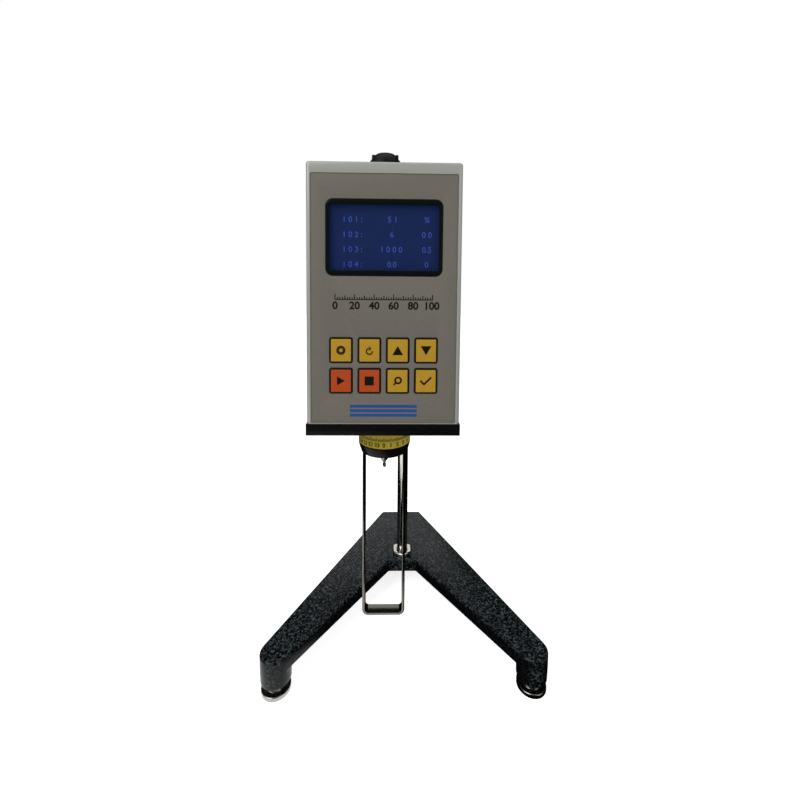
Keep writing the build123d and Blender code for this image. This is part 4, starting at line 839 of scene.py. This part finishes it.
class VISCO_OT_keys(bpy.types.Operator):
    """Eight keys with a dark border, a low crown and a symbol each"""
    bl_idname = "viscometer.keys"
    bl_label = "Keys"
    bl_options = {"REGISTER", "UNDO"}

    symbols = "◎↻▲▼▶■⌕✓"
    # Symbols drawn in thin lines, which are printed bolder, and the keys in red
    thin_symbols, thin_bold, full_bold = "◎↻⌕", 0.03, 0.012
    red_keys = (5, 6)
    edge, slope, crown_share = 0.15 * MM, 0.4 * MM, 0.6

    def execute(self, context):
        sizes = context.scene.viscometer_sizes
        first_low, first_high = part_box("key_1")
        middle = (first_low + first_high) / 2
        face = first_low.y - 1.5 * sizes.key_crown - sizes.print_thick / 2
        first = self.cap(sizes, first_low.y)
        for number, symbol in enumerate(self.symbols, 1):
            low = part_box(f"key_{number}")[0]
            move = Vector((low.x - first_low.x, 0, low.z - first_low.z))
            cap = first.copy()
            cap.data = first.data.copy()
            bpy.context.scene.collection.objects.link(cap)
            cap.data.transform(Matrix.Translation(move))
            colour = "key_red" if number in self.red_keys else "key_yellow"
            cap.data.materials[1] = FINISHES[colour]
            place = (middle.x + move.x, face, middle.z + move.z)
            bold = self.thin_bold if symbol in self.thin_symbols else self.full_bold
            legend = printed(symbol, sizes.legend_height, place, f"key_{number}_symbol", bold)
            legend.data.materials.append(FINISHES["black_print"])
            piece = joined([legend, cap], f"key_{number}_cap")
            finish_piece(piece, f"button_{number}", None, [f"key_{number}"], 25)
        bpy.data.objects.remove(first)
        return {"FINISHED"}

    def cap(self, sizes, front):
        """The first key's cap: a dark border, and inside it a coloured face with a low crown."""
        cap = soften(solid_copy("key_1", "key_cap"), self.edge)
        for finish in ("black_print", "key_yellow"):
            cap.data.materials.append(FINISHES[finish])
        select_faces(cap, lambda middle, normal: normal.y < -0.99 and middle.y < front + 0.02 * MM)
        bpy.ops.mesh.inset(thickness=sizes.key_border, depth=0)
        cap.active_material_index = 1
        bpy.ops.object.material_slot_assign()
        bpy.ops.mesh.inset(thickness=self.slope, depth=sizes.key_crown)
        bpy.ops.mesh.extrude_region_move(TRANSFORM_OT_translate={"value": (0, -sizes.key_crown / 2, 0)})
        bpy.ops.transform.resize(value=(self.crown_share, 1, self.crown_share))
        bpy.ops.object.mode_set(mode="OBJECT")
        return cap


class VISCO_OT_boss(bpy.types.Operator):
    """Boss tube, yellow band with its ticks and figures, and the guard's ring"""
    bl_idname = "viscometer.boss"
    bl_label = "Boss"
    bl_options = {"REGISTER", "UNDO"}

    band_edge = 0.1 * MM
    # Ticks and figures stand above the band's lower edge; every sixth tick is long and numbered
    tick_width, tick_rise, long_tick, short_tick = 0.45 * MM, 5.6 * MM, 3.2 * MM, 2.0 * MM
    figure_step, figure_height, figure_rise, figure_bold = 6, 3.3 * MM, 2.9 * MM, 0.035

    def execute(self, context):
        sizes = context.scene.viscometer_sizes
        dress("boss_tube", "head", "black_anodised", sizes.machined_round)
        dress("boss_band", "head", "band_yellow", self.band_edge, 1)
        dress("guard_ring", "head", "black_anodised", 2 * sizes.machined_round, 3)
        low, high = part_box("boss_band")
        axis = Vector(((low.x + high.x) / 2, (low.y + high.y) / 2, 0))
        radius = (high.x - low.x) / 2
        marks = []
        for step in range(sizes.band_ticks):
            long = step % self.figure_step == 0
            tall = self.long_tick if long else self.short_tick
            place = (0, -radius, low.z + self.tick_rise + tall / 2)
            tick = bar(self.tick_width, tall, place, f"band_tick_{step}")
            if long:
                place = (0, -radius, low.z + self.figure_rise)
                number = str(step // self.figure_step)
                figure = printed(number, self.figure_height, place, f"band_figure_{step}", self.figure_bold)
                tick = joined([tick, self.wrapped(figure, radius)], f"band_tick_{step}")
            turn = Matrix.Rotation(2 * pi * step / sizes.band_ticks, 4, "Z")
            tick.data.transform(Matrix.Translation(axis) @ turn)
            marks.append(tick)
        finish_piece(joined(marks, "boss_band_scale"), "head", "black_print")
        return {"FINISHED"}

    def wrapped(self, figure, radius):
        """A figure laid round the band instead of on a plane before it."""
        for vertex in figure.data.vertices:
            angle = vertex.co.x / radius
            deep = -vertex.co.y
            vertex.co.x, vertex.co.y = deep * sin(angle), -deep * cos(angle)
        return figure


class VISCO_OT_guard(bpy.types.Operator):
    """Brushed U-shaped guard and the rotor coupling inside it"""
    bl_idname = "viscometer.guard"
    bl_label = "Guard and coupling"
    bl_options = {"REGISTER", "UNDO"}

    strip_edge, coupling_edge = 0.35 * MM, 0.12 * MM
    # How far the block that cuts the strip's inside reaches past it
    overlap = 4 * MM

    def execute(self, context):
        sizes = context.scene.viscometer_sizes
        thick = floor_thick("guard")
        strip = self.block("guard_strip", 0.0, 0.0, sizes.guard_bend)
        cut(strip, self.block("guard_space", thick, self.overlap, sizes.guard_bend - thick))
        soften(strip, self.strip_edge, 3)
        finish_piece(strip, "head", "brushed_stainless", ["guard"])
        dress("rotor_coupling", "spindle", "turned_steel", self.coupling_edge)
        return {"FINISHED"}

    def block(self, name, inset, past, bend):
        """A block in the guard's outline, smaller by an inset, with its two lower corners rounded."""
        low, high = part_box("guard")
        middle = (low + high) / 2
        size = (high.x - low.x - 2 * inset, high.y - low.y + past, high.z - low.z - inset + past)
        place = (middle.x, middle.y, (low.z + inset + high.z + past) / 2)
        bpy.ops.mesh.primitive_cube_add(size=1, location=place, scale=size)
        block = settle(added(name))
        near = 0.01 * MM
        bottom = low.z + inset + near
        bpy.ops.object.mode_set(mode="EDIT")
        bpy.ops.mesh.select_mode(type="EDGE")
        bpy.ops.mesh.select_all(action="DESELECT")
        bpy.ops.object.mode_set(mode="OBJECT")
        for edge in block.data.edges:
            first, second = (block.data.vertices[i].co for i in edge.vertices)
            edge.select = max(first.z, second.z) < bottom and abs(first.x - second.x) < near
        bpy.ops.object.mode_set(mode="EDIT")
        bpy.ops.mesh.bevel(offset=bend, segments=8, affect="EDGES")
        bpy.ops.object.mode_set(mode="OBJECT")
        return block


class VISCO_OT_level(bpy.types.Operator):
    """Round level with its vial and three slotted screws"""
    bl_idname = "viscometer.level"
    bl_label = "Level"
    bl_options = {"REGISTER", "UNDO"}

    vial_edge = 0.15 * MM
    ring_radius, ring_wire, ring_flat = 2.6 * MM, 0.12 * MM, 0.02
    screw_radius, screw_height = 1.5 * MM, 0.5 * MM
    rim_width, rim_depth = 0.3 * MM, 0.1 * MM
    slot_width, slot_floor, cutter_length, cutter_height = 0.35 * MM, -0.05 * MM, 4 * MM, 0.5 * MM
    # Screws on a circle round the vial, sunk a little into the body's flange
    circle_radius, flange_height, sunk = 8.9 * MM, 3.6 * MM, 0.05 * MM

    def execute(self, context):
        sizes = context.scene.viscometer_sizes
        dress("level_body", "head", "black_abs", sizes.machined_round)
        dress("level_vial", "head", "vial_spirit", self.vial_edge)
        low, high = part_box("level_vial")
        middle = (low + high) / 2
        self.ring(middle, high.z)
        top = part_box("level_body")[0].z + self.flange_height
        places = []
        for step in range(3):
            angle = radians(90 + 120 * step)
            out = Vector((self.circle_radius * cos(angle), self.circle_radius * sin(angle), 0))
            centre = Vector((middle.x, middle.y, top + self.screw_height / 2 - self.sunk))
            places.append(Matrix.Translation(centre + out) @ Matrix.Rotation(angle, 4, "Z"))
        screws = spread(self.screw(), places, "level_adjusting_screws")
        finish_piece(screws, "head", "spring_steel")
        return {"FINISHED"}

    def ring(self, middle, top):
        """The printed circle on the vial that the bubble is set to."""
        bpy.ops.mesh.primitive_torus_add(
            location=(middle.x, middle.y, top), major_radius=self.ring_radius, minor_radius=self.ring_wire,
            major_segments=48, minor_segments=6)
        ring = settle(added("level_vial_ring"))
        flat = Matrix.Diagonal((1, 1, self.ring_flat, 1))
        ring.data.transform(Matrix.Translation((0, 0, top * (1 - self.ring_flat))) @ flat)
        finish_piece(ring, "head", "black_print")

    def screw(self):
        """One slotted screw head at the origin, with a raised rim."""
        bpy.ops.mesh.primitive_cylinder_add(
            vertices=20, radius=self.screw_radius, depth=self.screw_height, location=(0, 0, 0))
        screw = settle(added("level_screw"))
        select_faces(screw, lambda place, normal: normal.z > 0.9)
        bpy.ops.mesh.inset(thickness=self.rim_width, depth=-self.rim_depth)
        bpy.ops.object.mode_set(mode="OBJECT")
        bpy.ops.mesh.primitive_cube_add(
            size=1, location=(0, 0, self.slot_floor + self.cutter_height / 2),
            scale=(self.slot_width, self.cutter_length, self.cutter_height))
        return cut(screw, settle(added("slot_cutter")))


class VISCO_OT_rear(bpy.types.Operator):
    """Power jack, probe socket and switch in the rear cover"""
    bl_idname = "viscometer.rear"
    bl_label = "Rear fittings"
    bl_options = {"REGISTER", "UNDO"}

    def execute(self, context):
        edge = context.scene.viscometer_sizes.machined_round
        dress("power_jack", "head", "black_abs", edge)
        dress("probe_socket", "head", "chrome", edge)
        dress("switch_body", "head", "black_abs", edge)
        dress("switch_rocker", "rocker", "black_phenolic", edge)
        return {"FINISHED"}


class VISCO_OT_inside(bpy.types.Operator):
    """Finishes of the drive, the boards and the other solids that are shown as they are"""
    bl_idname = "viscometer.inside"
    bl_label = "Inside"
    bl_options = {"REGISTER", "UNDO"}

    def execute(self, context):
        for finish, nodes in PLAIN_NODES.items():
            for node in nodes:
                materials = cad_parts[node].data.materials
                materials.clear()
                materials.append(FINISHES[finish])
        return {"FINISHED"}


class VISCO_OT_stage(bpy.types.Operator):
    """Floor, lamps, room light and camera"""
    bl_idname = "viscometer.stage"
    bl_label = "Stage"
    bl_options = {"REGISTER", "UNDO"}

    floor_size, floor_glow = 8.0, 0.78
    # Place of each lamp, what it is aimed at, its size in metres and its power in watts
    lamp_places = (
        ("key_lamp", (-0.9, -1.1, 1.3), (0, -0.05, 0.25), 0.9, 12.0),
        ("fill_lamp", (1.2, -1.1, 0.9), (0, -0.05, 0.3), 1.2, 5.0),
        ("back_lamp", (-0.05, 1.3, 0.8), (0, 0, 0.2), 0.7, 1.6),
    )
    # Black cards that only mirrors see: upright ones along a line, with a gap at the front left
    # that lets light in, and flat ones just above the floor, from x to x and from y to y
    card_height, card_rise = 3.2, 0.2 * MM
    upright_cards = (
        ("card_right", (1.5, -1.7), (1.5, 1.7)),
        ("card_left", (-1.5, -0.7), (-1.5, 1.7)),
        ("card_back", (-1.6, 1.6), (1.6, 1.6)),
        ("card_front", (-1.6, -1.7), (1.6, -1.7)),
    )
    flat_cards = (
        ("card_low_right", 0.012, 2.0, -2.0, 2.0),
        ("card_low_left", -2.0, -0.5, -2.0, 2.0),
        ("card_low_back", -0.5, 0.012, -0.04, 2.0),
        ("card_low_front", -0.5, 0.012, -2.0, -0.45),
        ("card_low_middle", -0.06, 0.012, -0.45, -0.24),
        ("card_low_notch", -0.06, 0.012, -0.12, -0.04),
    )

    def execute(self, context):
        studio = context.scene.viscometer_studio
        self.floor()
        self.room(studio)
        self.lamps()
        self.cards()
        self.camera(studio)
        context.scene.view_settings.view_transform = "Standard"
        return {"FINISHED"}

    def floor(self):
        """Matt floor that is white to the camera and in mirrors, and keeps the object's shadow."""
        bpy.ops.mesh.primitive_plane_add(size=self.floor_size, location=(0, 0, 0))
        floor = settle(added("studio_floor"))
        finish, tree, shader = new_finish("matt_studio_floor", linear("#f2f2f0"), 0.0, 0.9)
        seen = seen_or_mirrored(tree)[1]
        glow = add_node(
            tree, "ShaderNodeMath", operation="MULTIPLY", values={1: self.floor_glow},
            links={0: (seen, "Value")})
        shader.inputs["Emission Color"].default_value = (1, 1, 1, 1)
        tree.links.new(glow.outputs["Value"], shader.inputs["Emission Strength"])
        floor.data.materials.append(finish)

    def room(self, studio):
        """Even light from all round, plain white where it is seen, mirrored or seen through a window."""
        world = bpy.data.worlds.new("white_room")
        bpy.context.scene.world = world
        world.use_nodes = True
        tree = world.node_tree
        tree.nodes.clear()
        path, seen = seen_or_mirrored(tree)
        shown = add_node(
            tree, "ShaderNodeMath", operation="MAXIMUM",
            links={0: (seen, "Value"), 1: (path, "Is Transmission Ray")})
        strength = add_node(
            tree, "ShaderNodeMapRange", values={"To Min": studio.sky_strength, "To Max": 1.0},
            links={"Value": (shown, "Value")})
        sky = add_node(
            tree, "ShaderNodeBackground", values={"Color": (1, 1, 1, 1)},
            links={"Strength": (strength, "Result")})
        add_node(tree, "ShaderNodeOutputWorld", links={"Surface": (sky, "Background")})

    def lamps(self):
        """Key lamp at the left, fill lamp at the right and a weak lamp low behind."""
        for name, place, aim, size, power in self.lamp_places:
            bpy.ops.object.light_add(type="AREA", location=place)
            lamp = bpy.context.object
            lamp.name = name
            lamp.data.size = size
            lamp.data.energy = power
            lamp.visible_camera = False
            lamp.rotation_euler = (Vector(aim) - Vector(place)).to_track_quat("-Z", "Y").to_euler()

    def cards(self):
        """All the black cards, so that glossy faces mirror a dark room and not the white floor."""
        finish = new_finish("black_card", linear("#050505"), 0.0, 1.0, Specular_IOR_Level=0.0)[0]
        for name, (x0, y0), (x1, y1) in self.upright_cards:
            width = abs(x1 - x0) + abs(y1 - y0)
            turn = (radians(90), 0, radians(90) if x0 == x1 else 0)
            place = ((x0 + x1) / 2, (y0 + y1) / 2, self.card_height / 2)
            self.card(name, finish, place, turn, (width, self.card_height))
        for name, x0, x1, y0, y1 in self.flat_cards:
            place = ((x0 + x1) / 2, (y0 + y1) / 2, self.card_rise)
            self.card(name, finish, place, (0, 0, 0), (x1 - x0, y1 - y0))

    def card(self, name, finish, place, turn, size):
        """One card that only glossy rays see."""
        bpy.ops.mesh.primitive_plane_add(size=1, location=place, rotation=turn)
        card = added(name)
        card.scale = (size[0], size[1], 1)
        settle(card)
        card.data.materials.append(finish)
        for kind in ("camera", "diffuse", "transmission", "volume_scatter", "shadow"):
            setattr(card, "visible_" + kind, False)

    def camera(self, studio):
        """Camera at the photograph's place, with its lens and its shift."""
        bpy.ops.object.camera_add(location=studio.camera_place)
        camera = bpy.context.object
        camera.name = "photo_camera"
        look = (
            Matrix.Rotation(studio.camera_yaw, 4, "Z")
            @ Matrix.Rotation(radians(90) - studio.camera_pitch, 4, "X")
            @ Matrix.Rotation(studio.camera_roll, 4, "Z"))
        camera.matrix_world = Matrix.Translation(studio.camera_place) @ look
        camera.data.sensor_width = 36.0
        camera.data.lens = studio.camera_lens
        camera.data.shift_x, camera.data.shift_y = studio.camera_shift
        camera.data.clip_start = 0.01
        camera.data.clip_end = 50.0
        bpy.context.scene.camera = camera


STEPS = (
    VISCO_OT_base, VISCO_OT_feet, VISCO_OT_column, VISCO_OT_lift, VISCO_OT_housing, VISCO_OT_panel,
    VISCO_OT_screen, VISCO_OT_keys, VISCO_OT_boss, VISCO_OT_guard, VISCO_OT_level, VISCO_OT_rear,
    VISCO_OT_inside, VISCO_OT_stage,
)


class VISCO_PT_sidebar(bpy.types.Panel):
    """Sizes, colours and steps of the viscometer"""
    bl_label = "Viscometer"
    bl_idname = "VISCO_PT_sidebar"
    bl_space_type = "VIEW_3D"
    bl_region_type = "UI"
    bl_category = "Viscometer"

    def draw(self, context):
        scene = context.scene
        for group in (scene.viscometer_sizes, scene.viscometer_colours, scene.viscometer_studio):
            box = self.layout.box()
            for name in group.__annotations__:
                box.prop(group, name)
        for step in STEPS:
            self.layout.operator(step.bl_idname)


CLASSES = (ViscometerSizes, ViscometerColours, ViscometerStudio) + STEPS + (VISCO_PT_sidebar,)


def register():
    for cls in CLASSES:
        bpy.utils.register_class(cls)
    bpy.types.Scene.viscometer_sizes = PointerProperty(type=ViscometerSizes)
    bpy.types.Scene.viscometer_colours = PointerProperty(type=ViscometerColours)
    bpy.types.Scene.viscometer_studio = PointerProperty(type=ViscometerStudio)


def unregister():
    del bpy.types.Scene.viscometer_studio
    del bpy.types.Scene.viscometer_colours
    del bpy.types.Scene.viscometer_sizes
    for cls in reversed(CLASSES):
        bpy.utils.unregister_class(cls)


def main():
    register()
    make_finishes()
    for step in STEPS:
        group, name = step.bl_idname.split(".")
        getattr(getattr(bpy.ops, group), name)()


if __name__ == "__main__":
    main()
